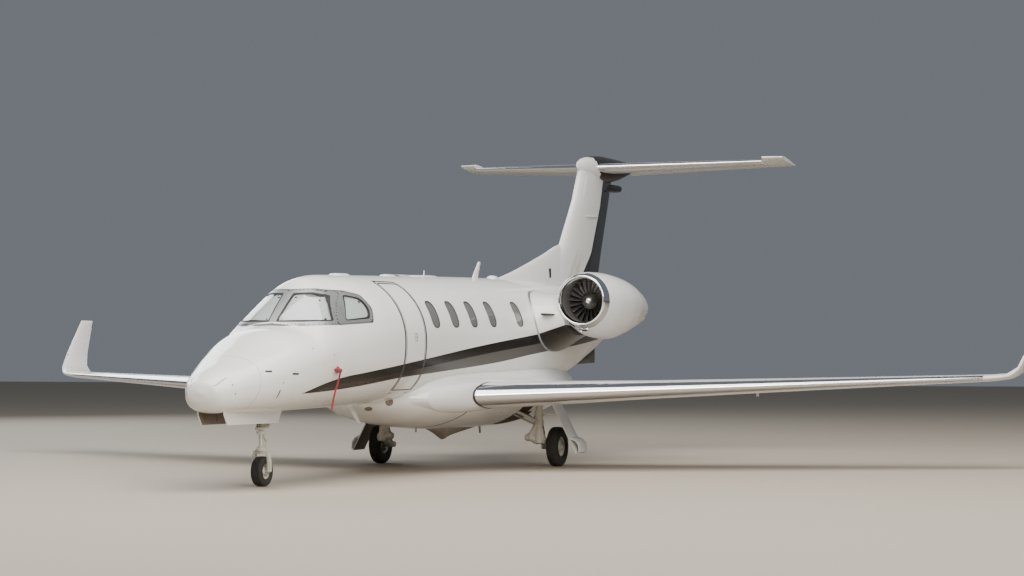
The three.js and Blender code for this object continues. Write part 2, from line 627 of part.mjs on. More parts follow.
function buildWings() {
  const body = wingBody().subtract(fairingBody(SEAM)).subtract(fuselageBody(SEAM)).subtract(wheelWell());
  const [inner, outer] = POLISHED_ENDS.map((x) => wingRow(WING, x));
  const strip = (grow) => {
    const [x0, x1] = [inner[0] - grow, outer[0] + grow];
    const rear = [inner, outer].map((row) => NOSE_Y + row[1] + row[3] * POLISHED_CHORD + grow);
    const shape = new THREE.Shape([
      new THREE.Vector2(x0, rear[0] - 900), new THREE.Vector2(x0, rear[0]),
      new THREE.Vector2(x1, rear[1]), new THREE.Vector2(x1, rear[1] - 900),
    ]);
    const plate = new THREE.ExtrudeGeometry(shape, { depth: 1500, bevelEnabled: false });
    plate.translate(0, 0, 500);
    return toSolid(plate);
  };
  const flapEnds = FLAP_HINGE.map(([x, share]) => chordPoint(WING, x, share).point);
  const aileronEnds = AILERON_HINGE.map(([x, share]) => chordPoint(WING, x, share));
  const aileronCut = (grow) => roundNosed(
    aileronEnds[0].point, aileronEnds[1].point, aileronEnds[0].half, aileronEnds[1].half, grow,
  );
  const aileronLine = aileronEnds.map((end) => end.point);
  const [wingArms, flapArms] = flapBrackets(flapEnds);
  const fixed = join([
    body.subtract(behindHinge(...flapEnds, MOVING_GAP, MOVING_GAP)).subtract(aileronCut(MOVING_GAP)),
    ...lugs(aileronLine), ...wingArms,
  ]);
  const flap = join([body.intersect(behindHinge(...flapEnds, 0)), ...flapArms]);
  const slots = join(lugSlots(aileronLine, aileronEnds[0].half, aileronEnds[1].half));
  const aileron = body.intersect(aileronCut(0)).subtract(slots);
  const axis = aileronLine[1].clone().sub(aileronLine[0]).normalize();
  for (const side of ['port', 'starboard']) {
    const place = side === 'port' ? (solid) => solid : mirrored;
    addPiece(`wing_${side}`, place(fixed.subtract(strip(SEAM))), 'white');
    addPiece(`leading_edge_${side}`, place(body.intersect(strip(0))), 'polished');
    addPiece(`flap_${side}`, place(flap), 'white');
    addPiece(`aileron_${side}`, place(turnAbout(aileron, aileronEnds[0].point, axis, -AILERON_REST[side])), 'white');
  }
}

// Tail.

function tailplaneBody(grow = 0) {
  const starboard = TAILPLANE.slice(1).reverse().map(([x, ...rest]) => [-x, ...rest]);
  return loft([...starboard, ...TAILPLANE].map((row) => aerofoilRing(row, grow)));
}

const tableBody = (table, grow, sides) => loft(table.map(([station]) => bodyRing(table, station, grow, sides)));

const finRing = ([z, station, chord, ratio]) => [
  ...CHORD_STEPS.map((c) => [c, 1]),
  ...CHORD_STEPS.slice(0, -1).reverse().map((c) => [c, -1]),
].map(([c, sign]) => at(sign * (halfThickness(c) * ratio + 0.002) * chord, station + c * chord, z));

function finPoint(z, share) {
  const [, station, chord, ratio] = finRow(z);
  return { point: at(0, station + share * chord, z), half: (halfThickness(share) * ratio + RUDDER.clear) * chord };
}

function finRow(z) {
  const k = Math.max(0, FIN.findIndex((row) => row[0] > z) - 1);
  const t = (z - FIN[k][0]) / (FIN[k + 1][0] - FIN[k][0]);
  return [z, ...[1, 2, 3].map((index) => FIN[k][index] + t * (FIN[k + 1][index] - FIN[k][index]))];
}

function buildTail() {
  const fin = loft(FIN.map(finRing)).add(tableBody(DORSAL, 0, 16));
  const [foot, head] = RUDDER_HINGE.map(([z, share]) => finPoint(z, share));
  const rudderLine = [foot.point, head.point];
  const beyondHead = head.point.clone().add(head.point.clone().sub(foot.point).setLength(RUDDER.over));
  const rudderCut = (grow, ends) => roundNosed(foot.point, beyondHead, foot.half, head.half, grow)
    .intersect(stationBlock(-400, 400, 12000, 15500, RUDDER.bottom - ends, RUDDER.top + ends));
  addPiece('fin', fin.subtract(fuselageBody(SEAM)).subtract(tableBody(BULLET, SEAM, 20))
    .subtract(rudderCut(MOVING_GAP, RUDDER.gap)).add(join(lugs(rudderLine))), 'white');
  const rudderSlots = join(lugSlots(rudderLine, foot.half, head.half));
  addPiece('rudder', fin.intersect(rudderCut(0, 0)).subtract(rudderSlots), 'dark');
  addPiece('tail_bullet', tableBody(BULLET, 0, 20).subtract(tailplaneBody(SEAM)), 'dark');

  const tailplane = tailplaneBody();
  const ends = ELEVATOR_HINGE.map(([x, share]) => chordPoint(TAILPLANE, x, share));
  const elevatorCut = (grow) => roundNosed(ends[0].point, ends[1].point, ends[0].half, ends[1].half, grow);
  const horn = stationBlock(HORN_ROOT + HORN_GAP, 3200, 14000, 16000, 4500, 5200);
  const beyond = stationBlock(ends[1].point.x, 3200, 14000, 16000, 4500, 5200);
  const line = ends.map((end) => end.point);
  const elevator = tailplane.intersect(elevatorCut(0).add(horn).add(beyond))
    .subtract(join(lugSlots(line, ends[0].half, ends[1].half)));
  const axis = line[1].clone().sub(line[0]).normalize();
  const drooped = turnAbout(elevator, ends[0].point, axis, -ELEVATOR_REST);
  const middle = tailplane.intersect(stationBlock(-HORN_ROOT, HORN_ROOT, 13000, 16000, 4500, 5200));
  const portLugs = join(lugs(line));
  const fixed = middle.subtract(elevatorCut(MOVING_GAP)).subtract(mirrored(elevatorCut(MOVING_GAP)));
  addPiece('tailplane', join([fixed, portLugs, mirrored(portLugs)]), 'white');
  addPiece('elevator_port', drooped, 'white');
  addPiece('elevator_starboard', mirrored(drooped), 'white');
  addPiece('ventral_fin', sidePlate(VENTRAL_FIN, -14, 14).subtract(fuselageBody(SEAM)), 'dark');
}

// Engines.

const nacelleAxis = (distance) => ENGINE.z - NACELLE_DROP * (Math.max(0, distance - 600) / 1700) ** 2;

function nacelleRing([distance, top, bottom, side]) {
  const ring = [];
  for (let i = 0; i < NACELLE_SIDES; i += 1) {
    const angle = (i / NACELLE_SIDES) * 2 * Math.PI;
    const rise = Math.sin(angle) * (Math.sin(angle) > 0 ? top : bottom);
    ring.push(at(ENGINE.x + side * Math.cos(angle), ENGINE.station + distance, nacelleAxis(distance) + rise));
  }
  return ring;
}

const nacelleBody = (grow = 0) => loft(NACELLE.map(([distance, ...radii]) => (
  nacelleRing([distance, ...radii.map((r) => r + grow)])
)));

const roundBody = (rows) => loft(rows.map(([distance, r]) => nacelleRing([distance, r, r, r])));

function fanBlade(turn) {
  const rings = FAN_BLADE.map(([radius, chord, pitch]) => {
    const lean = THREE.MathUtils.degToRad(pitch);
    const [c, t] = [chord / 2, 2.2];
    return [[-c, -t], [c, -t], [c, t], [-c, t]].map(([u, v]) => new THREE.Vector3(
      u * Math.sin(lean) + v * Math.cos(lean), u * Math.cos(lean) - v * Math.sin(lean), radius,
    ));
  });
  const middle = at(ENGINE.x, ENGINE.station + (FAN.front + FAN.rear) / 2, ENGINE.z);
  return loft(rings.map((ring) => ring.map((p) => p.applyAxisAngle(new THREE.Vector3(0, 1, 0), turn).add(middle))));
}

function buildEngine(side) {
  const place = side === 'port' ? (solid) => solid : mirrored;
  const shell = nacelleBody().subtract(roundBody(DUCT));
  const upTo = (distance) => stationBlock(900, 2200, 8000, ENGINE.station + distance, 1500, 3300);
  addPiece(`inlet_lip_${side}`, place(shell.intersect(upTo(LIP_LENGTH))), 'polished');
  addPiece(`nacelle_${side}`, place(shell.subtract(upTo(LIP_LENGTH + SEAM))), 'white');
  const shaftEnd = ENGINE.station + FAN.rear + 0.5;
  const shaft = rod(at(ENGINE.x, shaftEnd, ENGINE.z), at(ENGINE.x, shaftEnd + 200, ENGINE.z), 45);
  addPiece(`engine_core_${side}`, place(roundBody(CORE).add(shaft)), 'titanium');
  const hub = new THREE.LatheGeometry(HUB.map(([d, r]) => new THREE.Vector2(r, d)), FAN.blades);
  hub.translate(...at(ENGINE.x, ENGINE.station, ENGINE.z).toArray());
  const blades = Array.from({ length: FAN.blades }, (_, i) => fanBlade((i / FAN.blades) * 2 * Math.PI));
  addPiece(`fan_${side}`, place(join([toSolid(hub), ...blades])), 'titanium');
  const pylon = loft(PYLON.map((row) => aerofoilRing(row)));
  addPiece(`pylon_${side}`, place(pylon.subtract(fuselageBody(SEAM)).subtract(nacelleBody(SEAM))), 'white');
}

// Landing gear.

function tyreProfile({ radius, width, rim }) {
  const half = width / 2;
  const wall = radius - rim;
  const side = [[0.75, 0], [1, 0.3], [0.97, 0.7], [0.75, 0.94], [0.35, 1]];
  const right = side.map(([w, r]) => [w * half, rim + SEAM + r * (wall - SEAM)]);
  const left = right.map(([x, r]) => [-x, r]).reverse();
  return [...right, ...left, right[0]];
}

// A wheel's rim: a dished disc with a hub, bored for its axle.
function rimProfile({ width, rim, bore }) {
  const half = width / 2;
  const right = [[half * HUB_SHARE, bore], [half * HUB_SHARE, rim * 0.42], [half * 0.3, rim * 0.62], [half * 0.7, rim]];
  const left = right.map(([x, r]) => [-x, r]).reverse();
  return [...right, ...left, right[0]];
}

function addWheel(name, wheel, x) {
  const centre = at(x, wheel.station, wheel.radius);
  addPiece(`${name}_tyre`, turned(tyreProfile(wheel), centre, WHEEL_SIDES), 'rubber');
  addPiece(`${name}_rim`, turned(rimProfile(wheel), centre, WHEEL_SIDES), 'gearPaint');
}

function buildNoseGear() {
  const { station, radius } = NOSE_WHEEL;
  const s = STEERING_STATION;
  const housing = rod(at(0, s, NOSE_LEG.bottom), at(0, s, NOSE_BAY.top - SEAM), 48);
  const trunnion = rod(at(SEAM - NOSE_BAY.half, s, 1080), at(NOSE_BAY.half - SEAM, s, 1080), 30);
  const drag = rod(at(0, s, 780), at(0, s - 330, 1150), 20);
  addPiece('nose_leg', join([housing, trunnion, drag]), 'gearPaint');

  const crownTop = NOSE_LEG.crown + 36;
  const piston = rod(at(0, s, NOSE_LEG.crown), at(0, s, NOSE_LEG.bottom - 0.5), 28);
  const collar = rod(at(0, s, NOSE_LEG.bottom - 45), at(0, s, NOSE_LEG.bottom - 8), 56);
  const crown = stationBlock(-NOSE_LEG.arm - 10, NOSE_LEG.arm + 10, s - 20, s + 48, NOSE_LEG.crown, crownTop);
  const arms = [-1, 1].map((sign) => sidePlate(
    [[s - 15, crownTop], [s + 45, crownTop], [station + 30, radius], [station + 14, radius - 22],
      [station - 14, radius - 22], [station - 28, radius]],
    sign * NOSE_LEG.arm - 10, sign * NOSE_LEG.arm + 10,
  ));
  const axle = rod(at(-NOSE_LEG.arm, station, radius), at(NOSE_LEG.arm, station, radius), NOSE_WHEEL.bore - 0.5);
  const knee = at(0, s + 150, 545);
  const links = [rod(at(0, s + 30, crownTop - 15), knee, 13), rod(knee, at(0, s + 20, NOSE_LEG.bottom - 28), 13)];
  addPiece('nose_fork', join([piston, collar, crown, ...arms, axle, ...links]), 'gearPaint');
  addWheel('nose', NOSE_WHEEL, 0);

  const { x, thickness, front, rear, bottom } = NOSE_DOOR;
  const door = stationBlock(x, x + thickness, front, rear, bottom, 1050).subtract(fuselageBody(SEAM));
  addPiece('nose_door_port', door, 'white');
  addPiece('nose_door_starboard', mirrored(door), 'white');
}

function buildMainGear(side) {
  const place = side === 'port' ? (solid) => solid : mirrored;
  const { x, station, barrel, radius } = MAIN_LEG;
  const wheel = MAIN_WHEEL;
  const leg = (grow) => rod(at(x, station, barrel + 40.4 - grow), at(x, station, 1120), radius + grow);
  const brace = rod(at(x, station, 640), at(800, station - 150, 860), 24);
  const held = join([leg(0), brace]).subtract(wingBody(SEAM).subtract(wheelWell())).subtract(fairingBody(SEAM));
  addPiece(`main_leg_${side}`, place(held), 'gearPaint');

  const axleEnd = wheel.x - (wheel.width / 2) * HUB_SHARE - 0.5;
  const pivot = rod(at(x - 60, station, barrel), at(x + 60, station, barrel), 40);
  const beam = rod(at(x, station, barrel), at(x, wheel.station, wheel.radius), 38);
  const axle = rod(at(x - 60, wheel.station, wheel.radius), at(axleEnd, wheel.station, wheel.radius), 42);
  const shock = rod(at(x, wheel.station - 60, wheel.radius + 60), at(x, station + 30, 800), 27);
  addPiece(`main_arm_${side}`, place(join([pivot, beam, axle, shock]).subtract(leg(SEAM))), 'gearPaint');
  addWheel(`main_${side}`, { ...wheel, bore: 30 }, side === 'port' ? wheel.x : -wheel.x);

  const [tx, tz] = MAIN_DOOR.top;
  const [bx, bz] = MAIN_DOOR.bottom;
  const outline = [[tx, tz], [bx, bz], [bx + MAIN_DOOR.thickness, bz], [tx + MAIN_DOOR.thickness, tz]];
  const panel = new THREE.ExtrudeGeometry(
    new THREE.Shape(outline.map(([a, b]) => new THREE.Vector2(a, b))),
    { depth: MAIN_DOOR.rear - MAIN_DOOR.front, bevelEnabled: false },
  );
  panel.rotateX(Math.PI / 2);
  panel.translate(0, NOSE_Y + MAIN_DOOR.rear, 0);
  const share = 0.2; // how far down the door its tie is
  const tieEnd = at(tx + (bx - tx) * share + 10, MAIN_DOOR.front + 40, tz + (bz - tz) * share);
  const tie = rod(at(x + 35, station, tieEnd.z), tieEnd, 12);
  const door = toSolid(panel).add(tie.subtract(leg(SEAM)));
  addPiece(`main_door_${side}`, place(door.subtract(wingBody(SEAM))), 'white');
}

function buildAntennas() {
  const bodies = fuselageBody(SEAM).add(fairingBody(SEAM));
  addPiece('antenna_roof', sidePlate(ROOF_BLADE, -8, 8).subtract(bodies), 'white');
  addPiece('antenna_belly', sidePlate(BELLY_BLADE, -10, 10).subtract(bodies), 'white');
}

buildFuselage();
buildCockpitPanes();
buildCabinLining();
buildBelly();
buildWings();
buildTail();
buildEngine('port');
buildEngine('starboard');
buildNoseGear();
buildMainGear('port');
buildMainGear('starboard');
buildAntennas();

export default model;
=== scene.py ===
# %% [markdown]
# A light business jet, dressed in Blender.
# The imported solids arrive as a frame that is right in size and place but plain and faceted. This lesson puts
# smooth skins, glass, metal and small fittings on that frame. Everything is in metres, +X is port, +Y is aft.

# %% Load the frame
import math

import bmesh
import bpy
import numpy as np
from mathutils import Matrix, Vector
from mathutils.bvhtree import BVHTree


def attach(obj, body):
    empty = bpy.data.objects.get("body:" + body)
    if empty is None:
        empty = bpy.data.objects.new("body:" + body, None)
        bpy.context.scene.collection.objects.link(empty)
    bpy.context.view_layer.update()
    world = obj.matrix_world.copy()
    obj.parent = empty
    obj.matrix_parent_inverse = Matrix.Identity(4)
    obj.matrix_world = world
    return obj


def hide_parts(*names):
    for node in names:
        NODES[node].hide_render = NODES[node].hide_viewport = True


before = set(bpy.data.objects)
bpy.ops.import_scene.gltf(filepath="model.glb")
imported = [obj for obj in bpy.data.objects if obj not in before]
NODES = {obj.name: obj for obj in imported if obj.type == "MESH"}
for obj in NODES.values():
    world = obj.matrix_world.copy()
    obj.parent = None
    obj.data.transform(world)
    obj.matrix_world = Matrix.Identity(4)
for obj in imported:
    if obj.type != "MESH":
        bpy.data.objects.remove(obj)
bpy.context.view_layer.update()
SIDES = {"port": 1, "starboard": -1}
print("nodes in the frame:", len(NODES))

# %% [markdown]
# Places along an aircraft are called stations, and they count aft from the nose tip. Keeping that habit makes
# the numbers below read like a type's drawing. The frame puts y = 0 half way along the aircraft.

# %% Stations and section tables
NOSE_Y = -7.792
SEAM = 0.0003  # between two fixed pieces that touch
RUNNING_GAP = 0.007  # between a moving piece and a fixed one

# Station, crown, keel, half breadth, height of the widest point, fullness above it and below it.
FUSELAGE = np.array([
    [0, 1.172, 1.168, 0.002, 1.170, 2, 2],
    [0.04, 1.294, 1.053, 0.192, 1.172, 2, 2.2],
    [0.14, 1.360, 0.960, 0.270, 1.165, 2, 2.4],
    [0.3, 1.448, 0.928, 0.362, 1.207, 2, 2.5],
    [0.6, 1.568, 0.925, 0.480, 1.262, 2.1, 2.5],
    [1.05, 1.757, 0.918, 0.622, 1.365, 2.08, 2.5],
    [1.5, 1.935, 0.920, 0.724, 1.465, 2.12, 2.5],
    [1.8, 1.990, 0.923, 0.765, 1.530, 2.12, 2.5],
    [1.9, 2.085, 0.925, 0.772, 1.550, 2.1, 2.5],
    [2.32, 2.418, 0.932, 0.797, 1.600, 1.9, 2.5],
    [2.6, 2.600, 0.937, 0.812, 1.665, 1.7, 2.5],
    [3.0, 2.650, 0.943, 0.843, 1.725, 1.85, 2.5],
    [3.5, 2.664, 0.950, 0.868, 1.765, 2, 2.5],
    [4.3, 2.680, 0.965, 0.876, 1.810, 2, 2.5],
    [9.3, 2.768, 1.052, 0.876, 1.905, 2, 2.5],
    [10.3, 2.770, 1.110, 0.850, 1.940, 2, 2.3],
    [11.2, 2.740, 1.255, 0.780, 1.975, 2, 2],
    [12.0, 2.700, 1.455, 0.670, 2.020, 2, 1.9],
    [12.8, 2.660, 1.665, 0.535, 2.090, 2, 1.9],
    [13.6, 2.620, 1.905, 0.380, 2.200, 2, 1.9],
    [14.2, 2.580, 2.130, 0.245, 2.330, 2, 2],
    [14.5, 2.530, 2.260, 0.140, 2.390, 2, 2],
])
# The belly fairing, dorsal fin and tail bullet, in the first five of those columns.
FAIRING = np.array([
    [4.3, 1.000, 0.930, 0.060, 0.965],
    [4.6, 1.250, 0.815, 0.500, 1.030],
    [5.1, 1.420, 0.680, 0.880, 1.060],
    [5.8, 1.470, 0.610, 1.040, 1.070],
    [6.8, 1.500, 0.565, 1.100, 1.060],
    [8.4, 1.540, 0.560, 1.100, 1.060],
    [9.4, 1.560, 0.660, 1.010, 1.130],
    [10.3, 1.520, 0.850, 0.800, 1.200],
    [11.0, 1.440, 1.030, 0.560, 1.240],
    [11.5, 1.330, 1.190, 0.160, 1.260],
])
DORSAL = np.array([
    [9.25, 2.775, 2.5, 0.030, 2.6],
    [9.9, 2.905, 2.5, 0.062, 2.6],
    [11.1, 3.190, 2.5, 0.085, 2.6],
    [11.95, 3.395, 2.5, 0.084, 2.6],
    [12.5, 3.420, 2.5, 0.030, 2.6],
])
BULLET = np.array([
    [12.76, 4.790, 4.700, 0.015, 4.745],
    [12.95, 4.860, 4.610, 0.072, 4.735],
    [13.4, 4.930, 4.545, 0.118, 4.745],
    [14.0, 4.965, 4.525, 0.138, 4.755],
    [14.6, 4.960, 4.590, 0.128, 4.785],
    [15.1, 4.950, 4.695, 0.092, 4.830],
    [15.56, 4.930, 4.810, 0.030, 4.870],
])
print("fuselage length:", FUSELAGE[-1, 0], "m")


def column(table, k, place):
    """One column of a table at some places, on a smooth curve that never overshoots its rows."""
    rows, values = table[:, 0], table[:, k]
    place = np.clip(place, rows[0], rows[-1])
    step = np.diff(rows)
    slope = np.diff(values) / step
    tangent = np.empty_like(values)
    tangent[0], tangent[-1] = slope[0], slope[-1]
    product, total = slope[:-1] * slope[1:], slope[:-1] + slope[1:]
    tangent[1:-1] = np.where(product <= 0, 0, 2 * product / np.where(total == 0, 1, total))
    n = np.clip(np.searchsorted(rows, place, side="right") - 1, 0, len(rows) - 2)
    t = (place - rows[n]) / step[n]
    p, q, m0, m1 = values[n], values[n + 1], tangent[n] * step[n], tangent[n + 1] * step[n]
    return p + m0 * t + (3 * (q - p) - 2 * m0 - m1) * t**2 + (m0 + m1 - 2 * (q - p)) * t**3


def at(x, station, z):
    """A place in the frame, from its x, station and height."""
    return Vector((x, NOSE_Y + station, z))


# %% [markdown]
# A lofted skin is a row of rings joined by quads, which is how a hull or a fuselage is faired on paper.
# Blender's modifiers could round a coarse body, but a dense loft keeps every section where the table says it
# is.

# %% Lofts
def add_mesh(name, points, faces):
    mesh = bpy.data.meshes.new(name)
    mesh.from_pydata([tuple(p) for p in points], [], faces)
    mesh.validate()
    mesh.update()
    obj = bpy.data.objects.new(name, mesh)
    bpy.context.scene.collection.objects.link(obj)
    return obj


def loft(name, rings):
    """A closed skin over rings that each have the same number of points."""
    rings = np.asarray(rings, float)
    count, sides = rings.shape[:2]
    points = rings.reshape(-1, 3)
    faces = []
    for r in range(count - 1):
        for i in range(sides):
            j = (i + 1) % sides
            faces.append((r * sides + i, r * sides + j, (r + 1) * sides + j, (r + 1) * sides + i))
    faces.append(tuple(range(sides))[::-1])
    faces.append(tuple(range((count - 1) * sides, count * sides)))
    obj = add_mesh(name, points, faces)
    face_outward(obj)
    return obj


def face_outward(obj):
    """Turns a closed mesh's faces outward if they point in."""
    shape = bmesh.new()
    shape.from_mesh(obj.data)
    if shape.calc_volume(signed=True) < 0:
        bmesh.ops.reverse_faces(shape, faces=shape.faces)
        shape.to_mesh(obj.data)
    shape.free()


def section(table, station, grow=0.0, sides=96):
    """One rounded section of a body, grown outward."""
    crown, keel, half, wide = [column(table, k, station) for k in (1, 2, 3, 4)]
    above, below = [column(table, k, station) for k in (5, 6)] if table.shape[1] > 5 else (2.0, 2.0)
    angle = np.arange(sides) / sides * 2 * math.pi
    upper = np.sin(angle) > 1e-9
    power = np.where(upper, 2 / above, 2 / below)
    across = np.copysign(np.abs(np.cos(angle)) ** power, np.cos(angle))
    up = np.copysign(np.abs(np.sin(angle)) ** power, np.sin(angle))
    rise = np.where(upper, crown - wide, wide - keel) + grow
    return np.c_[(half + grow) * across, np.full(sides, NOSE_Y + station), wide + rise * up]


NOSE_STATIONS = 0.004 + 0.6 * np.linspace(0, 1, 26) ** 2  # the rings lie closest at the nose tip
NOSE_END = 0.65  # where the even spacing starts


def body(name, table, grow=0.0, start=None, end=None, step=0.06, sides=96):
    """A loft through a table, closer spaced where the nose curves most."""
    first = table[0, 0] if start is None else start
    last = table[-1, 0] if end is None else end
    stations = np.arange(first, last, step)
    if first < NOSE_STATIONS[0]:  # the body has a nose of its own
        stations = np.r_[NOSE_STATIONS, np.arange(NOSE_END, last, step)]
    stations = np.r_[stations[stations < last - step * 0.4], last]
    return loft(name, [section(table, s, grow, sides) for s in stations])


# %% [markdown]
# Panels are cut from the lofts the way a factory trims a moulding: with a template. Blender's Boolean
# modifier does this, and its Manifold solver is quick and exact on closed meshes.

# %% Cutting and joining
def evaluated(obj):
    """Applies an object's modifiers."""
    bpy.context.view_layer.update()
    mesh = bpy.data.meshes.new_from_object(obj.evaluated_get(bpy.context.evaluated_depsgraph_get()))
    obj.modifiers.clear()
    obj.data = mesh
    return obj


def copy_of(obj, name=None):
    other = obj.copy()
    other.data = obj.data.copy()
    other.name = name or obj.name
    bpy.context.scene.collection.objects.link(other)
    return other


def discard(*objs):
    for obj in objs:
        bpy.data.objects.remove(obj)


def trim(obj, tools, operation="DIFFERENCE"):
    """Cuts, joins or crosses an object with others, which are used up."""
    for tool in tools:
        step = obj.modifiers.new(operation.lower(), "BOOLEAN")
        step.operation, step.object, step.solver = operation, tool, "MANIFOLD"
    evaluated(obj)
    discard(*tools)
    return obj


def crate(low, high):
    """A plain box between two corners: a cutting tool, or the blank of a bevelled bar."""
    points = [(x, y, z) for x in (low[0], high[0]) for y in (low[1], high[1]) for z in (low[2], high[2])]
    faces = [(0, 1, 3, 2), (4, 6, 7, 5), (0, 4, 5, 1), (2, 3, 7, 6), (0, 2, 6, 4), (1, 5, 7, 3)]
    return add_mesh("crate", points, faces)


def between(first, last, x=(-9, 9), z=(-1, 6)):
    """A box over a stretch of stations."""
    return crate(at(x[0], first, z[0]), at(x[1], last, z[1]))


def prism(outline, place, low, high):
    """A flat outline pushed along an axis. place(a, b, depth) gives each corner in the frame."""
    n = len(outline)
    points = [place(a, b, depth) for depth in (low, high) for a, b in outline]
    faces = [tuple(range(n))[::-1], tuple(range(n, 2 * n))]
    faces += [(i, (i + 1) % n, n + (i + 1) % n, n + i) for i in range(n)]
    obj = add_mesh("prism", points, faces)
    face_outward(obj)
    return obj


def side_prism(outline, sign, near=0.3, far=1.0):
    """Stations and heights, pushed outward on one side."""
    return prism(outline, lambda station, z, x: at(x, station, z), sign * near, sign * far)


def front_prism(outline, sign, first=1.60, last=2.65):
    """Distances from the middle and heights, pushed aft on one side."""
    return prism([(sign * x, z) for x, z in outline], lambda x, z, station: at(x, station, z), first, last)


def rounded(corners, radius, steps=6):
    """An outline with its corners turned, each on a short curve."""
    points = [np.array(p, float) for p in corners]
    out = []
    for k, corner in enumerate(points):
        before, after = points[k - 1], points[(k + 1) % len(points)]
        enter = corner + (before - corner) / np.linalg.norm(before - corner) * radius
        leave = corner + (after - corner) / np.linalg.norm(after - corner) * radius
        for t in np.linspace(0, 1, steps):
            out.append(tuple((1 - t) ** 2 * enter + 2 * t * (1 - t) * corner + t**2 * leave))
    return out


def spread(outline, grow):
    """An outline moved outward from its middle."""
    points = np.array(outline, float)
    away = points - points.mean(0)
    reach = np.linalg.norm(away, axis=1, keepdims=True)
    return [tuple(p) for p in points.mean(0) + away * (1 + grow / reach)]


def mirror(obj):
    """Moves a piece to the other side."""
    obj.data.transform(Matrix.Scale(-1, 4, (1, 0, 0)))
    obj.data.flip_normals()
    return obj


def bevelled(obj, width):
    """Eases the edges that are sharper than 40 degrees."""
    edge = obj.modifiers.new("edges", "BEVEL")
    edge.width, edge.segments, edge.angle_limit = width, 2, math.radians(40)
    return evaluated(obj)


made = []
SMOOTH_UNDER = math.radians(34)  # edges flatter than this are shaded smooth


def fit(obj, finish_key, rides="airframe", replaces=(), name=None):
    """Gives a finished piece its name, its finish and the body it moves with."""
    obj.name = name or obj.name
    obj.data.shade_smooth()
    obj.data.set_sharp_from_angle(angle=SMOOTH_UNDER)
    obj.data.materials.clear()
    obj.data.materials.append(MATERIALS[finish_key])
    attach(obj, rides)
    if replaces:
        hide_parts(*replaces)
    made.append(obj.name)
    return obj


def repaint(name, finish_key):
    """A new finish on a solid of the frame."""
    solid = NODES[name]
    if not solid.material_slots:
        solid.data.materials.append(MATERIALS[finish_key])
    for entry in solid.material_slots:
        entry.material = MATERIALS[finish_key]


# %% [markdown]
# Paint on an aircraft is thick, glossy and very even, yet never a mirror: it has a fine orange peel and a film
# of dust on top, and what faces down is darkened with painted shade, in blotches that trail aft like grime.
# Three small node groups give those to any material. A group hands out only colours, masks and normals, and
# each material keeps its own shader.

# %% Shared effects
SURFACE = {"Colour": "NodeSocketColor", "Roughness": "NodeSocketFloat", "Normal": "NodeSocketVector"}


def new_group(name, inputs, outputs):
    tree = bpy.data.node_groups.new(name, "ShaderNodeTree")
    for label, value in inputs.items():
        kind = "NodeSocketColor" if isinstance(value, tuple) else "NodeSocketFloat"
        tree.interface.new_socket(label, in_out="INPUT", socket_type=kind).default_value = value
    for label, kind in outputs.items():
        tree.interface.new_socket(label, in_out="OUTPUT", socket_type=kind)
    return tree, tree.nodes.new("NodeGroupInput"), tree.nodes.new("NodeGroupOutput")


def node(tree, kind, settings=None, **inputs):
    """Adds a node, sets its options, and links or sets its inputs, by name or as i0, i1 and so on."""
    item = tree.nodes.new(kind)
    for key, value in (settings or {}).items():
        setattr(item, key, value)
    for key, value in inputs.items():
        numbered = key[0] == "i" and key[1:].isdigit()
        socket = item.inputs[int(key[1:]) if numbered else key.replace("_", " ")]
        if isinstance(value, bpy.types.NodeSocket):
            tree.links.new(value, socket)
        else:
            socket.default_value = value
    return item


def maths(tree, operation, a, b=0.0, clamp=False):
    return node(tree, "ShaderNodeMath", {"operation": operation, "use_clamp": clamp}, i0=a, i1=b).outputs[0]


def mix_colour(tree, share, a, b):
    return node(tree, "ShaderNodeMix", {"data_type": "RGBA"}, i0=share, i6=a, i7=b).outputs[2]


def hand_out(tree, outer, colour, rough, bump):
    for label, socket in (("Colour", colour), ("Roughness", rough), ("Normal", bump.outputs[0])):
        tree.links.new(socket, outer.inputs[label])
    return tree


def build_skin_group():
    """Orange peel, dust everywhere, and painted shade on what faces down, in blotches like grime."""
    inputs = {"Colour": (0.8, 0.8, 0.8, 1), "Dust": 0.05, "Grime": 0.2, "Roughness": 0.2, "Peel": 0.02}
    tree, inner, outer = new_group("Skin wear and underside shade", inputs, SURFACE)
    given = inner.outputs
    place = node(tree, "ShaderNodeTexCoord").outputs["Object"]
    streaks = node(tree, "ShaderNodeMapping", Vector=place, Scale=(9.0, 1.1, 9.0)).outputs[0]
    cloud = node(tree, "ShaderNodeTexNoise", Vector=streaks, Scale=1.0, Detail=6.0, Roughness=0.6).outputs[0]
    normal = node(tree, "ShaderNodeNewGeometry").outputs["Normal"]
    up = node(tree, "ShaderNodeSeparateXYZ", Vector=normal).outputs[2]
    # Painted shade: faces that point down are darkened towards a grime brown, in blotches.
    below = maths(tree, "MULTIPLY", maths(tree, "MULTIPLY", up, -1.0, True), given["Grime"])
    blotches = maths(tree, "ADD", maths(tree, "MULTIPLY", cloud, 1.5), -0.1, True)
    patchy = maths(tree, "MULTIPLY", below, blotches)
    dusty = maths(tree, "MULTIPLY", given["Dust"], cloud)
    grime_and_shade = mix_colour(tree, patchy, given["Colour"], (0.20, 0.165, 0.125, 1))
    colour = mix_colour(tree, dusty, grime_and_shade, (0.42, 0.38, 0.32, 1))
    matt = maths(tree, "MULTIPLY", maths(tree, "ADD", patchy, dusty), 0.6)
    rough = maths(tree, "ADD", given["Roughness"], matt)
    fine = node(tree, "ShaderNodeTexNoise", Vector=place, Scale=95.0, Detail=2.0).outputs[0]
    bump = node(tree, "ShaderNodeBump", Height=fine, Strength=given["Peel"], Distance=0.004)
    return hand_out(tree, outer, colour, rough, bump)


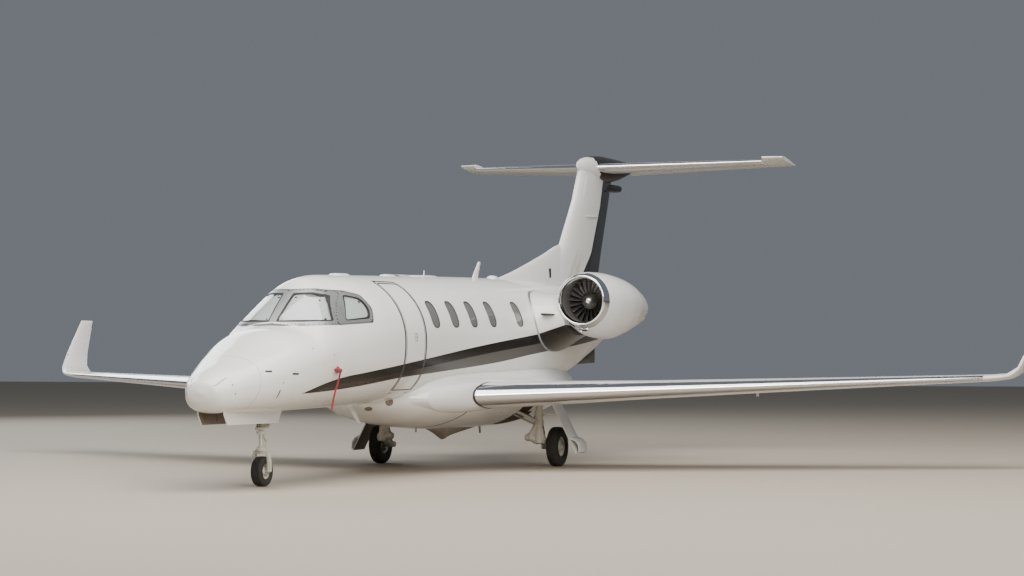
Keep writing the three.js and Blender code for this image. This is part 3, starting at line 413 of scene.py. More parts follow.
def build_band_group():
    """A mask that is 1 in a narrow band about one value of a coordinate, such as a seam."""
    inputs = {"Coordinate": 0.0, "Middle": 0.0, "Half width": 0.002, "Softness": 0.001}
    tree, inner, outer = new_group("Band", inputs, {"Mask": "NodeSocketFloat"})
    given = inner.outputs
    away = maths(tree, "ABSOLUTE", maths(tree, "SUBTRACT", given["Coordinate"], given["Middle"]))
    past = maths(tree, "DIVIDE", maths(tree, "SUBTRACT", away, given["Half width"]), given["Softness"])
    tree.links.new(maths(tree, "SUBTRACT", 1.0, past, True), outer.inputs["Mask"])
    return tree


def build_metal_group():
    """Fine brushing along one direction, with a little staining, for bare metal."""
    inputs = {"Colour": (0.6, 0.6, 0.6, 1), "Stain": 0.2, "Roughness": 0.15, "Along": 1.0, "Across": 160.0,
              "Depth": 0.05}
    tree, inner, outer = new_group("Metal grain", inputs, SURFACE)
    given = inner.outputs
    place = node(tree, "ShaderNodeTexCoord").outputs["Object"]
    scale = node(tree, "ShaderNodeCombineXYZ", i0=given["Along"], i1=given["Across"], i2=given["Across"])
    lines = node(tree, "ShaderNodeMapping", Vector=place, Scale=scale.outputs[0]).outputs[0]
    grain = node(tree, "ShaderNodeTexNoise", Vector=lines, Scale=1.0, Detail=3.0).outputs[0]
    cloud = node(tree, "ShaderNodeTexNoise", Vector=place, Scale=3.5, Detail=6.0, Roughness=0.65).outputs[0]
    stain = maths(tree, "MULTIPLY", maths(tree, "SUBTRACT", cloud, 0.45, True), given["Stain"])
    share = maths(tree, "MULTIPLY", stain, 3.0, True)
    colour = mix_colour(tree, share, given["Colour"], (0.10, 0.085, 0.07, 1))
    rough = maths(tree, "ADD", given["Roughness"], maths(tree, "MULTIPLY", stain, 0.9))
    bump = node(tree, "ShaderNodeBump", Height=grain, Strength=given["Depth"], Distance=0.001)
    return hand_out(tree, outer, colour, rough, bump)


GROUPS = {"skin": build_skin_group(), "band": build_band_group(), "metal": build_metal_group()}
print("node groups:", sorted(tree.name for tree in GROUPS.values()))


# %% [markdown]
# Each finish starts from the Principled shader. The helpers below plug one of the groups into it, and numbers
# that are the same all over a surface are typed straight into the shader.

# %% Finishes
def use_group(tree, key, **inputs):
    return node(tree, "ShaderNodeGroup", {"node_tree": GROUPS[key]}, **inputs)


def wire(tree, group):
    """Plugs a group's surface into the material's shader."""
    principled = tree.nodes["Principled BSDF"]
    for label, socket in (("Colour", "Base Color"), ("Roughness", "Roughness"), ("Normal", "Normal")):
        tree.links.new(group.outputs[label], principled.inputs[socket])
    return principled


def finish(title, key=None, shader=None, colour=(0.8, 0.8, 0.8), **wear):
    """A material from a group's wear, which on the skin includes painted shade on what faces down, and the
    shader's own constants.
    """
    material = bpy.data.materials.new(title)
    material.use_nodes = True
    tree = material.node_tree
    constants = tree.nodes["Principled BSDF"].inputs
    for label, value in (shader or {}).items():
        constants[label].default_value = value
    if key is None:
        constants["Base Color"].default_value = (*colour, 1)
    else:
        wire(tree, use_group(tree, key, Colour=(*colour, 1), **wear))
    return material


WHITE = (0.86, 0.85, 0.82)
COAT = 0.6  # the clear coat's weight on the paint
GLOSS = {"Coat Weight": COAT, "Coat Roughness": 0.05, "Specular IOR Level": 0.5}
METAL = {"Metallic": 1.0}
WEAR = {"skin": ("Dust", "Grime", "Roughness", "Peel"),
        "metal": ("Stain", "Roughness", "Along", "Across", "Depth")}
# Title, group, the shader's constants, colour, and the group's numbers in the order of WEAR.
# The second of the skin's numbers darkens what faces down with painted shade.
FINISHES = {
    "white": ("white paint", "skin", GLOSS, WHITE, 0.04, 0.14, 0.24, 0.03),
    "dark": ("dark tail paint", "skin", {"Specular IOR Level": 0.3}, (0.010, 0.009, 0.0095),
             0.03, 0.1, 0.2, 0.03),
    "edge": ("polished leading edge", "metal", METAL, (0.80, 0.81, 0.83), 0.1, 0.13, 1.2, 60.0, 0.03),
    "lip": ("polished inlet lip", "metal", METAL, (0.82, 0.82, 0.83), 0.08, 0.08, 30.0, 30.0, 0.02),
    "fan": ("fan titanium", "metal", METAL, (0.46, 0.45, 0.44), 0.25, 0.38, 60.0, 60.0, 0.06),
    "spinner": ("spinner metal", "metal", METAL, (0.78, 0.77, 0.75), 0.1, 0.22, 90.0, 90.0, 0.04),
    "hot": ("hot section metal", "metal", METAL, (0.30, 0.25, 0.21), 0.9, 0.34, 12.0, 40.0, 0.1),
    "duct": ("duct lining", "skin", {"Specular IOR Level": 0.4}, (0.115, 0.105, 0.098),
             0.08, 0.1, 0.38, 0.1),
    "gear": ("gear enamel", "skin", {"Coat Weight": 0.2, "Coat Roughness": 0.15}, (0.62, 0.60, 0.52),
             0.3, 0.6, 0.36, 0.08),
    "chrome": ("oleo chrome", "metal", METAL, (0.85, 0.85, 0.86), 0.1, 0.06, 40.0, 40.0, 0.01),
    "steel": ("plain steel", "metal", METAL, (0.42, 0.41, 0.39), 0.5, 0.3, 60.0, 60.0, 0.08),
    "strip": ("window frame metal", "metal", {"Metallic": 0.6}, (0.36, 0.365, 0.37),
             0.35, 0.34, 20.0, 80.0, 0.1),
    "rubber": ("tyre rubber", "skin", {"Specular IOR Level": 0.25}, (0.012, 0.0115, 0.011),
             0.12, 0.25, 0.62, 0.5),
    "surround": ("door surround", "metal", {"Metallic": 0.3}, (0.030, 0.030, 0.029),
             0.2, 0.45, 20.0, 60.0, 0.05),
    # The belly pod and its masts are darkened to taupe: painted shade under the belly.
    "pod": ("weathered belly paint", "skin", {}, (0.50, 0.44, 0.38), 0.3, 0.8, 0.45, 0.1),
    "seal": ("rubber seal", "skin", {"Specular IOR Level": 0.3}, (0.018, 0.0175, 0.017),
             0.08, 0.2, 0.55, 0.2),
    "trim": ("cabin trim", "skin", {}, (0.42, 0.38, 0.32), 0.2, 0.1, 0.7, 0.6),
    "carpet": ("cabin carpet", "skin", {"Sheen Weight": 0.4}, (0.15, 0.12, 0.10), 0.3, 0.2, 0.95, 1.0),
    "panel": ("instrument panel", "skin", {}, (0.035, 0.035, 0.037), 0.3, 0.1, 0.6, 0.4),
    "shade": ("sunshade fabric", "skin", {"Sheen Weight": 0.2}, (0.84, 0.86, 0.86), 0.06, 0.1, 0.6, 0.6),
    "blind": ("window blind", "skin", {"Coat Weight": 1.0, "Coat Roughness": 0.04}, (0.125, 0.125, 0.122),
              0.1, 0.1, 0.4, 0.1),
    "bay": ("bay lining", "skin", {}, (0.17, 0.135, 0.105), 0.2, 0.5, 0.55, 0.4),
    "hose": ("hydraulic hose", "skin", {}, (0.02, 0.02, 0.021), 0.3, 0.3, 0.5, 0.3),
    "cover": ("cover fabric", "skin", {"Sheen Weight": 0.1}, (0.27, 0.010, 0.018), 0.08, 0.2, 0.8, 0.8),
    "lens": ("lamp lens", "skin", {"Transmission Weight": 1.0, "IOR": 1.49}, (0.95, 0.97, 0.98),
             0.04, 0.05, 0.03, 0.01),
    "red": ("red lamp", "skin", {"Coat Weight": 1.0}, (0.55, 0.012, 0.01), 0.05, 0.1, 0.1, 0.02),
    "green": ("green lamp", "skin", {"Coat Weight": 1.0}, (0.01, 0.30, 0.12), 0.05, 0.1, 0.1, 0.02),
    "glass": ("cockpit glass", "skin", {"Transmission Weight": 1.0, "IOR": 1.45}, (0.96, 0.985, 0.975),
              0.03, 0.03, 0.015, 0.004),
}
MATERIALS = {key: finish(title, group, shader, colour, **dict(zip(WEAR[group], wear)))
             for key, (title, group, shader, colour, *wear) in FINISHES.items()}
print("finishes:", len(MATERIALS))

# %% [markdown]
# The livery is one dark swoosh that starts at a point under the cockpit and widens aft. Painting it by its
# real edges keeps it sharp at any distance. Three curve nodes hold the height of its top, of its foot and of
# the line between its black upper part and its lower part, which is brown ahead of the door and carries a
# painted grey reflection behind it. The fin and the pylons are painted in the same way, each to an edge of its
# own.

# %% Livery paint
# Station and height.
SWOOSH_TOP = [(1.40, 1.147), (2.05, 1.305), (3.0, 1.408), (3.86, 1.490), (4.7, 1.572), (6.48, 1.742),
              (8.6, 1.915), (13.5, 2.31)]
SWOOSH_SPLIT = [(1.40, 1.146), (2.05, 1.225), (3.0, 1.305), (3.86, 1.380), (4.7, 1.455), (6.48, 1.610),
                (8.6, 1.77), (13.5, 2.14)]
SWOOSH_FOOT = [(1.40, 1.145), (2.62, 1.204), (3.97, 1.317), (5.24, 1.387), (7.32, 1.515), (8.63, 1.63),
               (13.5, 1.95)]
SWOOSH_BLACK, SWOOSH_BROWN = (0.003, 0.0026, 0.0026, 1), (0.022, 0.015, 0.010, 1)
# Behind the door the swoosh's lower part turns grey: a painted reflection.
SWOOSH_REFLECTION_GREY = (0.085, 0.080, 0.074, 1)
BEHIND_DOOR = 4.3
RADOME_FOOT, RADOME_HEAD = (0.570, 1.100), (0.676, 1.510)  # the radome's joint leans aft as it rises
RADOME_LEAN = (RADOME_HEAD[0] - RADOME_FOOT[0]) / (RADOME_HEAD[1] - RADOME_FOOT[1])
# Height and station.
FIN_PAINT_EDGE = [(2.4, 12.4), (2.976, 12.86), (3.345, 13.30), (3.628, 13.50), (3.872, 13.62), (4.277, 13.76),
                  (4.9, 13.95)]
LENGTH_SPAN, HEIGHT_SPAN, FIN_SPAN = 16.0, 4.0, 6.0  # what 1 stands for in the curve nodes


def curve_value(tree, value, points, span, reach):
    """The second number of a row of points, on a smooth curve over the first one."""
    item = node(tree, "ShaderNodeFloatCurve", Value=maths(tree, "DIVIDE", value, span))
    curve = item.mapping.curves[0]
    for k, (a, b) in enumerate(points):
        if k < 2:
            curve.points[k].location = (a / span, b / reach)
        else:
            curve.points.new(a / span, b / reach)
    item.mapping.update()
    return maths(tree, "MULTIPLY", item.outputs[0], reach)


def past(tree, a, b, crisp=400.0):
    """A mask that is 1 where a is more than b. A painted edge is about two millimetres soft."""
    return maths(tree, "MULTIPLY", maths(tree, "SUBTRACT", a, b), crisp, True)


def painted(title, shader, pattern, **wear):
    """A paint whose colour, and mask of dark areas without a clear coat, come from a pattern."""
    material = finish(title, None, shader)
    tree = material.node_tree
    place = node(tree, "ShaderNodeTexCoord").outputs["Object"]
    parts = node(tree, "ShaderNodeSeparateXYZ", Vector=place).outputs
    colour, dark = pattern(tree, parts[0], maths(tree, "SUBTRACT", parts[1], NOSE_Y), parts[2])
    principled = wire(tree, use_group(tree, "skin", Colour=colour, Peel=0.03, **wear))
    coat = maths(tree, "SUBTRACT", COAT, maths(tree, "MULTIPLY", dark, COAT))
    tree.links.new(coat, principled.inputs["Coat Weight"])
    return material


def livery_pattern(tree, across, along, up):
    """The swoosh and the line of the radome's joint."""
    top, split, foot = [curve_value(tree, along, points, LENGTH_SPAN, HEIGHT_SPAN)
                        for points in (SWOOSH_TOP, SWOOSH_SPLIT, SWOOSH_FOOT)]
    stripe = maths(tree, "MULTIPLY", past(tree, top, up), past(tree, up, foot))
    stripe = maths(tree, "MULTIPLY", stripe, past(tree, along, SWOOSH_TOP[0][0]))
    # Brown paint ahead of the door, and a painted grey reflection behind it.
    lower = mix_colour(tree, past(tree, along, BEHIND_DOOR, 2.0), SWOOSH_BROWN, SWOOSH_REFLECTION_GREY)
    swoosh = mix_colour(tree, past(tree, up, split), lower, SWOOSH_BLACK)
    colour = mix_colour(tree, stripe, (*WHITE, 1), swoosh)
    lean = maths(tree, "MULTIPLY", maths(tree, "SUBTRACT", up, RADOME_FOOT[1]), RADOME_LEAN)
    joint = use_group(tree, "band", Coordinate=maths(tree, "SUBTRACT", along, lean), Middle=RADOME_FOOT[0],
                      Half_width=0.0020, Softness=0.0012)
    faint = maths(tree, "MULTIPLY", joint.outputs[0], 0.75)
    return mix_colour(tree, faint, colour, (0.12, 0.11, 0.1, 1)), stripe


def fin_pattern(tree, across, along, up):
    """White, with the black of the rudder carried forward to a curved line."""
    black = past(tree, along, curve_value(tree, up, FIN_PAINT_EDGE, FIN_SPAN, LENGTH_SPAN), 300.0)
    return mix_colour(tree, black, (*WHITE, 1), (0.009, 0.008, 0.009, 1)), black


def pylon_pattern(tree, across, along, up):
    """White paint darkened to cream as painted shade above a line that rises outboard, and near black below
    it.
    """
    out = maths(tree, "SUBTRACT", maths(tree, "ABSOLUTE", across), 0.87)
    level = maths(tree, "ADD", maths(tree, "MULTIPLY", out, 0.36), 1.925)
    below = past(tree, level, up)
    dark = mix_colour(tree, past(tree, level, up, 3.5), (0.004, 0.003, 0.003, 1), (0.034, 0.027, 0.025, 1))
    # The cream is the pylon's white paint darkened as painted shade.
    return mix_colour(tree, below, (0.80, 0.77, 0.72, 1), dark), below


MATERIALS["livery"] = painted("livery paint", {**GLOSS, "Specular IOR Level": 0.12}, livery_pattern,
                              Dust=0.04, Grime=0.16, Roughness=0.22)
MATERIALS["fin"] = painted("fin paint", {"Specular IOR Level": 0.4}, fin_pattern, Dust=0.03, Grime=0.12,
                           Roughness=0.22)
MATERIALS["pylon"] = painted("pylon paint", {**GLOSS, "Specular IOR Level": 0.2}, pylon_pattern, Dust=0.03,
                             Grime=0.10, Roughness=0.2)
print("paints with a pattern:", 3)

# %% [markdown]
# The camera stands where the photographer stood: far off, low, and almost straight ahead of the nose. Its
# place was worked out from the aircraft's own known points. The light is a plain pale studio, with a broad
# soft sky.

# %% Camera, lights and floor
CAMERA_PLACE = Vector((14.4718, -34.0292, 1.6458))
CAMERA_YAW, CAMERA_PITCH = math.radians(-21.84), math.radians(1.471)
FOCAL_PIXELS, FRAME_WIDTH = 2526.9, 1024

eye = bpy.data.cameras.new("camera")
eye.sensor_width = 36.0
eye.lens = FOCAL_PIXELS / FRAME_WIDTH * eye.sensor_width
eye.clip_end = 400
camera = bpy.data.objects.new("camera", eye)
bpy.context.scene.collection.objects.link(camera)
camera.location = CAMERA_PLACE
camera.rotation_euler = (math.pi / 2 + CAMERA_PITCH, 0, -CAMERA_YAW)
bpy.context.scene.camera = camera

world = bpy.data.worlds.new("studio")
world.use_nodes = True
world.node_tree.nodes["Background"].inputs["Color"].default_value = (0.32, 0.35, 0.39, 1)
world.node_tree.nodes["Background"].inputs["Strength"].default_value = 0.50
bpy.context.scene.world = world


def softbox(name, place, target, size, power, colour=(1, 1, 1)):
    light = bpy.data.lights.new(name, "AREA")
    light.shape, light.size, light.size_y = "RECTANGLE", *size
    light.energy, light.color = power, colour
    lamp = bpy.data.objects.new(name, light)
    bpy.context.scene.collection.objects.link(lamp)
    lamp.location = place
    lamp.rotation_euler = (Vector(target) - Vector(place)).to_track_quat("-Z", "Y").to_euler()
    return lamp


softbox("sky", (4, -8, 18), (0, 0, 1), (24, 24), 9000, (1.0, 0.99, 0.97))
softbox("key", (20, -24, 12), (0, -2, 1.5), (9, 9), 4200, (1.0, 0.97, 0.92))
softbox("rear fill", (-20, 16, 13), (0, 2, 2), (14, 14), 2600, (0.92, 0.96, 1.0))

floor = add_mesh("floor", [(-90, -90, 0), (90, -90, 0), (90, 90, 0), (-90, 90, 0)], [(0, 1, 2, 3)])
floor.data.materials.append(finish("pale floor", None, {"Roughness": 0.75}, (0.40, 0.345, 0.275)))
print("lens", round(eye.lens, 2), "mm")

# %% [markdown]
# The fuselage is a thin barrel with a hollow cabin. Its outer skin is lofted whole, the cabin is cut out of
# it, and then the openings: two windshields, two side windows, the cabin windows and the entry door.

# %% Fuselage openings
WALL, TAIL_WALL = 0.080, 0.022
WINDSHIELD = [(0.046, 2.034), (0.400, 2.030), (0.646, 2.044), (0.448, 2.378), (0.290, 2.413), (0.062, 2.402)]
SIDE_WINDOW = [(2.518, 2.050), (3.095, 2.086), (3.165, 2.225), (3.108, 2.350), (2.798, 2.392)]
CABIN_WINDOWS = {"port": [5.02, 5.68, 6.34, 7.04, 8.07], "starboard": [4.36, 5.02, 5.68, 6.34, 7.04, 8.07]}
WINDOW_WIDTH, WINDOW_HEIGHT = 0.270, 0.370
WINDOW_MIDDLE, WINDOW_RISE = 2.165, 0.0145  # height of the first one to port, and the rise per metre aft
DOOR_FRONT, DOOR_REAR, DOOR_SILL, DOOR_TOP, DOOR_CORNER = 3.980, 4.600, 1.120, 2.585, 0.090
COCKPIT_JOINT, CABIN_JOINT, TAIL_JOINT = 1.75, 3.55, 9.3


def windshield_cut(grow, sign):
    return front_prism(rounded(spread(WINDSHIELD, grow), 0.022), sign)


def side_window_cut(grow, sign):
    return side_prism(rounded(spread(SIDE_WINDOW, grow), 0.060), sign)


def cabin_window_cut(station, sign, grow=0.0):
    z = WINDOW_MIDDLE + (station - CABIN_WINDOWS["port"][0]) * WINDOW_RISE
    w, h = WINDOW_WIDTH / 2 + grow, WINDOW_HEIGHT / 2 + grow
    corners = [(station - w, z - h), (station + w, z - h), (station + w, z + h), (station - w, z + h)]
    return side_prism(rounded(corners, w * 0.9, 10), sign, 0.4, 1.1)


def door_cut(grow=0.0):
    """The doorway, round at its upper corners and square at the sill."""
    front, rear, sill, top = DOOR_FRONT - grow, DOOR_REAR + grow, DOOR_SILL - grow, DOOR_TOP + grow
    steps = 10
    arc = rounded([(front, sill), (rear, sill), (rear, top), (front, top)], DOOR_CORNER + grow, steps)
    return side_prism([(front, sill), (rear, sill)] + arc[2 * steps:], 1, 0.1, 1.2)


barrel = body("barrel", FUSELAGE, sides=112)
cabin_space = body("cabin space", FUSELAGE, -WALL, COCKPIT_JOINT + 0.025, TAIL_JOINT - 0.025, 0.15, 64)
tail_space = body("tail space", FUSELAGE, -TAIL_WALL, TAIL_JOINT - 0.05, 13.5, 0.2, 64)
nose_bay = between(0.29, 1.73, (-0.165, 0.165), (0.5, 1.18))
openings = []
for side, sign in SIDES.items():
    openings += [windshield_cut(0.0, sign), side_window_cut(0.0, sign)]
    openings += [cabin_window_cut(station, sign) for station in CABIN_WINDOWS[side]]
openings.append(door_cut(RUNNING_GAP))
hull = trim(copy_of(barrel, "hull"), [nose_bay, copy_of(cabin_space), tail_space, *openings])
print("fuselage skin:", len(hull.data.polygons), "faces")


# %% [markdown]
# The hull is then parted at the real production joints, so that each panel is a piece of its own.

# %% Fuselage panels
def radome_side(gap=0.0):
    """Everything ahead of the radome's joint."""
    joint = [(RADOME_FOOT[0] + (z - RADOME_FOOT[1]) * RADOME_LEAN + gap, z) for z in (0.5, 2.5)]
    return side_prism([(-0.4, 0.5), *joint, (-0.4, 2.5)], 1, -1.5, 1.5)


radome = trim(copy_of(hull, "nose_cone_skin"), [radome_side()], "INTERSECT")
nose = trim(copy_of(hull, "nose_skin"), [between(-0.1, COCKPIT_JOINT - SEAM)], "INTERSECT")
trim(nose, [radome_side(SEAM)])
cockpit = trim(copy_of(hull, "cockpit_skin"), [between(COCKPIT_JOINT, CABIN_JOINT - SEAM)], "INTERSECT")
cabin = trim(copy_of(hull, "cabin_skin"), [between(CABIN_JOINT, TAIL_JOINT - SEAM)], "INTERSECT")
tail = trim(hull, [between(TAIL_JOINT, 15)], "INTERSECT")
tail.name = "tail_skin"
for panel, replaced in ((radome, "radome"), (nose, "nose_section"), (cockpit, "cockpit_shell"),
                        (cabin, "cabin_shell"), (tail, "tail_cone")):
    fit(panel, "livery", replaces=[replaced])
for name, finish_key in (("cabin_lining", "trim"), ("cabin_floor", "carpet"), ("instrument_panel", "panel")):
    repaint(name, finish_key)
print("fuselage panels:", made)

# %% [markdown]
# Strips, panes and blinds all lie in or on the skin. A patch is the space between two offsets of the barrel,
# cut to an outline, so it follows the curve of the fuselage exactly and rests on it.

# %% Patches of the skin
COCKPIT_REACH, CABIN_REACH, DOOR_REACH = (1.6, 3.4), (4.0, 8.4), (3.8, 4.8)  # stations that a patch may span
FRAME_AHEAD = [(-0.002, 1.990), (0.40, 1.988), (0.695, 1.998), (0.475, 2.426), (0.29, 2.455), (-0.002, 2.449)]
FRAME_BESIDE = [(2.33, 1.996), (3.12, 2.036), (3.225, 2.225), (3.155, 2.392), (2.87, 2.440), (2.56, 2.446),
                (2.42, 2.32)]
# The top edge of the cloth in a windshield sags between its cups.
SHADE_SAG = [(0.19, 2.47), (0.205, 2.372), (0.25, 2.350), (0.31, 2.341), (0.38, 2.345), (0.42, 2.358),
             (0.44, 2.47)]
skins = {}


def patch(name, reach, outer, inner, tool, holes=()):
    """A piece between two offsets of the fuselage, inside one template and outside others."""
    key = (reach, outer, inner)
    if key not in skins:
        within = body("offset", FUSELAGE, inner, reach[0] - 0.1, reach[1] + 0.1, 0.06, 112)
        skins[key] = trim(body("offset", FUSELAGE, outer, *reach, 0.06, 112), [within])
    piece = trim(copy_of(skins[key], name), [tool], "INTERSECT")
    return trim(piece, list(holes)) if holes else piece


def frame_cut(sign, grow=0.0):
    """The windows' frame on one side, drawn from ahead and from the side."""
    ahead = front_prism(rounded(spread(FRAME_AHEAD, grow), 0.002), sign, 1.70, 2.64)
    return trim(ahead, [side_prism(rounded(spread(FRAME_BESIDE, grow), 0.04), sign)], "UNION")


for side, sign in SIDES.items():
    holes = [windshield_cut(-0.0005, sign), side_window_cut(-0.0005, sign)]
    fit(patch(f"window_frame_{side}", COCKPIT_REACH, 0.0014, -0.002, frame_cut(sign), holes), "strip")
    sealant = patch(f"window_frame_sealant_{side}", COCKPIT_REACH, 0.0012, -0.002, frame_cut(sign, 0.007),
                    [frame_cut(sign, 0.0003)])
    fit(trim(sealant, [crate((-0.004, -9, 1), (0.004, 0, 3))]), "surround")
    for pane, cut in (("windshield", windshield_cut), ("side_window", side_window_cut)):
        glass = patch(f"{pane}_pane_{side}", COCKPIT_REACH, -0.004, -0.012, cut(-0.0235, sign))
        fit(glass, "glass", replaces=[f"{pane}_{side}"])
        inner = [cut(-0.024, sign)]
        fit(patch(f"{pane}_seal_{side}", COCKPIT_REACH, -0.001, -0.016, cut(-0.0006, sign), inner), "seal")
        shade = patch(f"{pane}_sunshade_{side}", COCKPIT_REACH, -0.024, -0.028, cut(-0.030, sign))
        if pane == "windshield":
            trim(shade, [front_prism(SHADE_SAG, sign)])
        fit(shade, "shade")
print("cockpit windows done")

# %% [markdown]
# Each cabin window is a rounded pane with a dark rim, and the blinds are down behind them. The pane's gloss
# and the grey blind read as one surface from outside, so one coated piece does for both.

# %% Cabin windows
for side, sign in SIDES.items():
    panes, rims = [], []
    for station in CABIN_WINDOWS[side]:
        panes.append(patch("pane", CABIN_REACH, -0.007, -0.010, cabin_window_cut(station, sign, -0.016)))
        rims.append(patch("rim", CABIN_REACH, -0.002, -0.011, cabin_window_cut(station, sign, -0.0006),
                          [cabin_window_cut(station, sign, -0.0165)]))
    fit(trim(panes[0], panes[1:], "UNION"), "blind", name=f"cabin_panes_{side}")
    fit(trim(rims[0], rims[1:], "UNION"), "seal", name=f"cabin_window_rims_{side}")
print("cabin windows:", {side: len(rows) for side, rows in CABIN_WINDOWS.items()})


# %% [markdown]
# Small fittings are turned, drawn or laid. Round ones are a profile turned about an axis, hoses are a ring
# drawn along a smooth line, and strips are laid on the skin, whose place is found by touching the barrel from
# outside.

# %% Small shapes
def weld(obj):
    shape = bmesh.new()
    shape.from_mesh(obj.data)
    bmesh.ops.remove_doubles(shape, verts=shape.verts, dist=1e-6)
    bmesh.ops.dissolve_degenerate(shape, edges=shape.edges, dist=1e-7)
    shape.to_mesh(obj.data)
    shape.free()
    return obj


def revolved(profile, centre, axis=(1, 0, 0), sides=64):
    """A closed outline, as distances along an axis and radii, turned about that axis."""
    centre, axis = Vector(centre), Vector(axis).normalized()
    side = axis.orthogonal().normalized()
    up = axis.cross(side)
    points, faces, count = [], [], len(profile)
    for k in range(sides):
        spoke = side * math.cos(k / sides * math.tau) + up * math.sin(k / sides * math.tau)
        points += [centre + axis * along + spoke * radius for along, radius in profile]
        a, b = k * count, (k + 1) % sides * count
        faces += [(a + i, a + (i + 1) % count, b + (i + 1) % count, b + i) for i in range(count)]
    obj = weld(add_mesh("turned", points, faces))
    face_outward(obj)
    return obj


def rod(start, end, radius, end_radius=None, sides=28):
    start, end = Vector(start), Vector(end)
    along = (end - start).normalized()
    side = along.orthogonal().normalized()
    up = along.cross(side)
    spokes = [side * math.cos(t) + up * math.sin(t) for t in np.linspace(0, math.tau, sides, endpoint=False)]
    ends = ((start, radius), (end, end_radius or radius))
    return loft("rod", [[place + spoke * r for spoke in spokes] for place, r in ends])


def pipe(points, radius, sides=10, steps=6):
    """A tube along a smooth line through some points."""
    points = [Vector(p) for p in points]
    line = []
    for k in range(len(points) - 1):
        before, start = points[max(0, k - 1)], points[k]
        end, after = points[k + 1], points[min(len(points) - 1, k + 2)]
        for t in np.linspace(0, 1, steps, endpoint=False):
            m0, m1 = (end - before) / 2, (after - start) / 2
            h = (2 * t**3 - 3 * t**2 + 1, t**3 - 2 * t**2 + t, -2 * t**3 + 3 * t**2, t**3 - t**2)
            line.append(start * h[0] + m0 * h[1] + end * h[2] + m1 * h[3])
    line.append(points[-1])
    rings, side = [], (line[1] - line[0]).orthogonal().normalized()
    for k, place in enumerate(line):
        along = (line[min(k + 1, len(line) - 1)] - line[max(k - 1, 0)]).normalized()
        side = (side - along * side.dot(along)).normalized()
        up = along.cross(side)
        rings.append([place + (side * math.cos(a) + up * math.sin(a)) * radius
                      for a in np.linspace(0, math.tau, sides, endpoint=False)])
    return loft("pipe", rings)


def surface_of(obj):
    bpy.context.view_layer.update()
    return BVHTree.FromObject(obj, bpy.context.evaluated_depsgraph_get())


skin_map = surface_of(barrel)


def touch(station, z, sign=1):
    """The place and normal of the skin, reached from the side."""
    return skin_map.ray_cast(at(sign * 3, station, z), Vector((-sign, 0, 0)))[:2]


def touch_ahead(x, z):
    """The place and normal of the skin, reached from ahead."""
    return skin_map.ray_cast(Vector((x, -9.5, z)), Vector((0, 1, 0)))[:2]


def stud(place, normal, radius, height, sides=10):
    """A low round head on a surface."""
    profile = [(-0.001, 0), (-0.001, radius), (height * 0.5, radius), (height, radius * 0.6), (height, 0)]
    return revolved(profile, place, normal, sides)


def grouped(name, objs, finish_key, rides="airframe"):
    """Many small pieces as one object."""
    first, rest = objs[0], objs[1:]
    shape = bmesh.new()
    for obj in objs:
        shape.from_mesh(obj.data)
    shape.to_mesh(first.data)
    shape.free()
    discard(*rest)
    return fit(first, finish_key, rides, name=name)


def ribbon(stops, half_width, height, sink=0.002):
    """A flat strip laid along a line of places and normals on a skin."""
    line, rings = [place for place, _ in stops], []
    for k, (place, up) in enumerate(stops):
        along = (line[min(k + 1, len(line) - 1)] - line[max(k - 1, 0)]).normalized()
        across = up.cross(along).normalized() * half_width
        top = up * height
        rings.append([place - across - up * sink, place + across - up * sink, place + across * 0.9 + top,
                      place - across * 0.9 + top])
    return loft("ribbon", rings)


print("tools for small shapes ready")

# %% [markdown]
# The lightning strips on the nose cone, its vents and ports, the rivets of the window frames and the suction
# cups that hold the sunshades are all laid on the skin in that way.

# %% Fittings of the nose and the cockpit
# Two ends of each vent as station and height, and its half width. Then the middles of the round ports.
NOSE_VENTS = [((0.73, 1.425), (0.823, 1.424), 0.013), ((1.138, 1.392), (1.25, 1.391), 0.013),
              ((0.933, 1.105), (0.946, 1.201), 0.011)]
NOSE_PORTS = [(0.981, 1.285), (0.237, 1.268), (0.253, 1.162), (1.62, 1.70), (2.02, 1.62)]
STRIP_PROUD = 0.0012  # how far a window's frame stands above the skin
CUP_DEPTH = 0.0232  # from the skin down to the sunshades
strips, vents, rivets, cups = [], [], [], []
for sign in SIDES.values():
    stops = [touch(0.036 + 0.199 * t, 1.247 + 0.104 * t, sign) for t in np.linspace(0, 1, 12)]
    strips.append(ribbon(stops, 0.005, 0.0012))
    # The vents are dark ribbons: painted shade for the open slits.
    for (s0, z0), (s1, z1), wide in NOSE_VENTS:
        stops = [touch(s0 + (s1 - s0) * t, z0 + (z1 - z0) * t, sign) for t in np.linspace(0, 1, 8)]
        vents.append(ribbon(stops, wide, 0.0009))
    vents += [stud(*touch(station, z, sign), 0.010, 0.001, 12) for station, z in NOSE_PORTS]
    for outline, reach_skin in ((FRAME_AHEAD, lambda x, z: touch_ahead(sign * x, z)),
                                (FRAME_BESIDE, lambda station, z: touch(station, z, sign))):
        line = [np.array(p) for p in rounded(spread(outline, -0.014), 0.03, 4)]
        for start, end in zip(line, line[1:] + line[:1]):
            length = np.linalg.norm(end - start)
            for t in np.arange(0, length, 0.046) / max(length, 1e-6):
                place, out = reach_skin(*(start + (end - start) * t))
                if place is not None and 1.6 < place.y - NOSE_Y < 3.3 and abs(place.x) > 0.012:
                    rivets.append(stud(place + out * STRIP_PROUD, out, 0.0095, 0.0018))
    corners = [touch_ahead(sign * x, z) for x, z in [spread(WINDSHIELD, -0.075)[k] for k in (0, 2, 3, 5)]]
    corners += [touch(station, z, sign) for station, z in [spread(SIDE_WINDOW, -0.070)[k] for k in (0, 3)]]
    cups += [stud(place - out * CUP_DEPTH, out, 0.018, 0.008, 20) for place, out in corners]
grouped("lightning_strips", strips, "bay")
grouped("nose_vents_and_ports", vents, "seal")
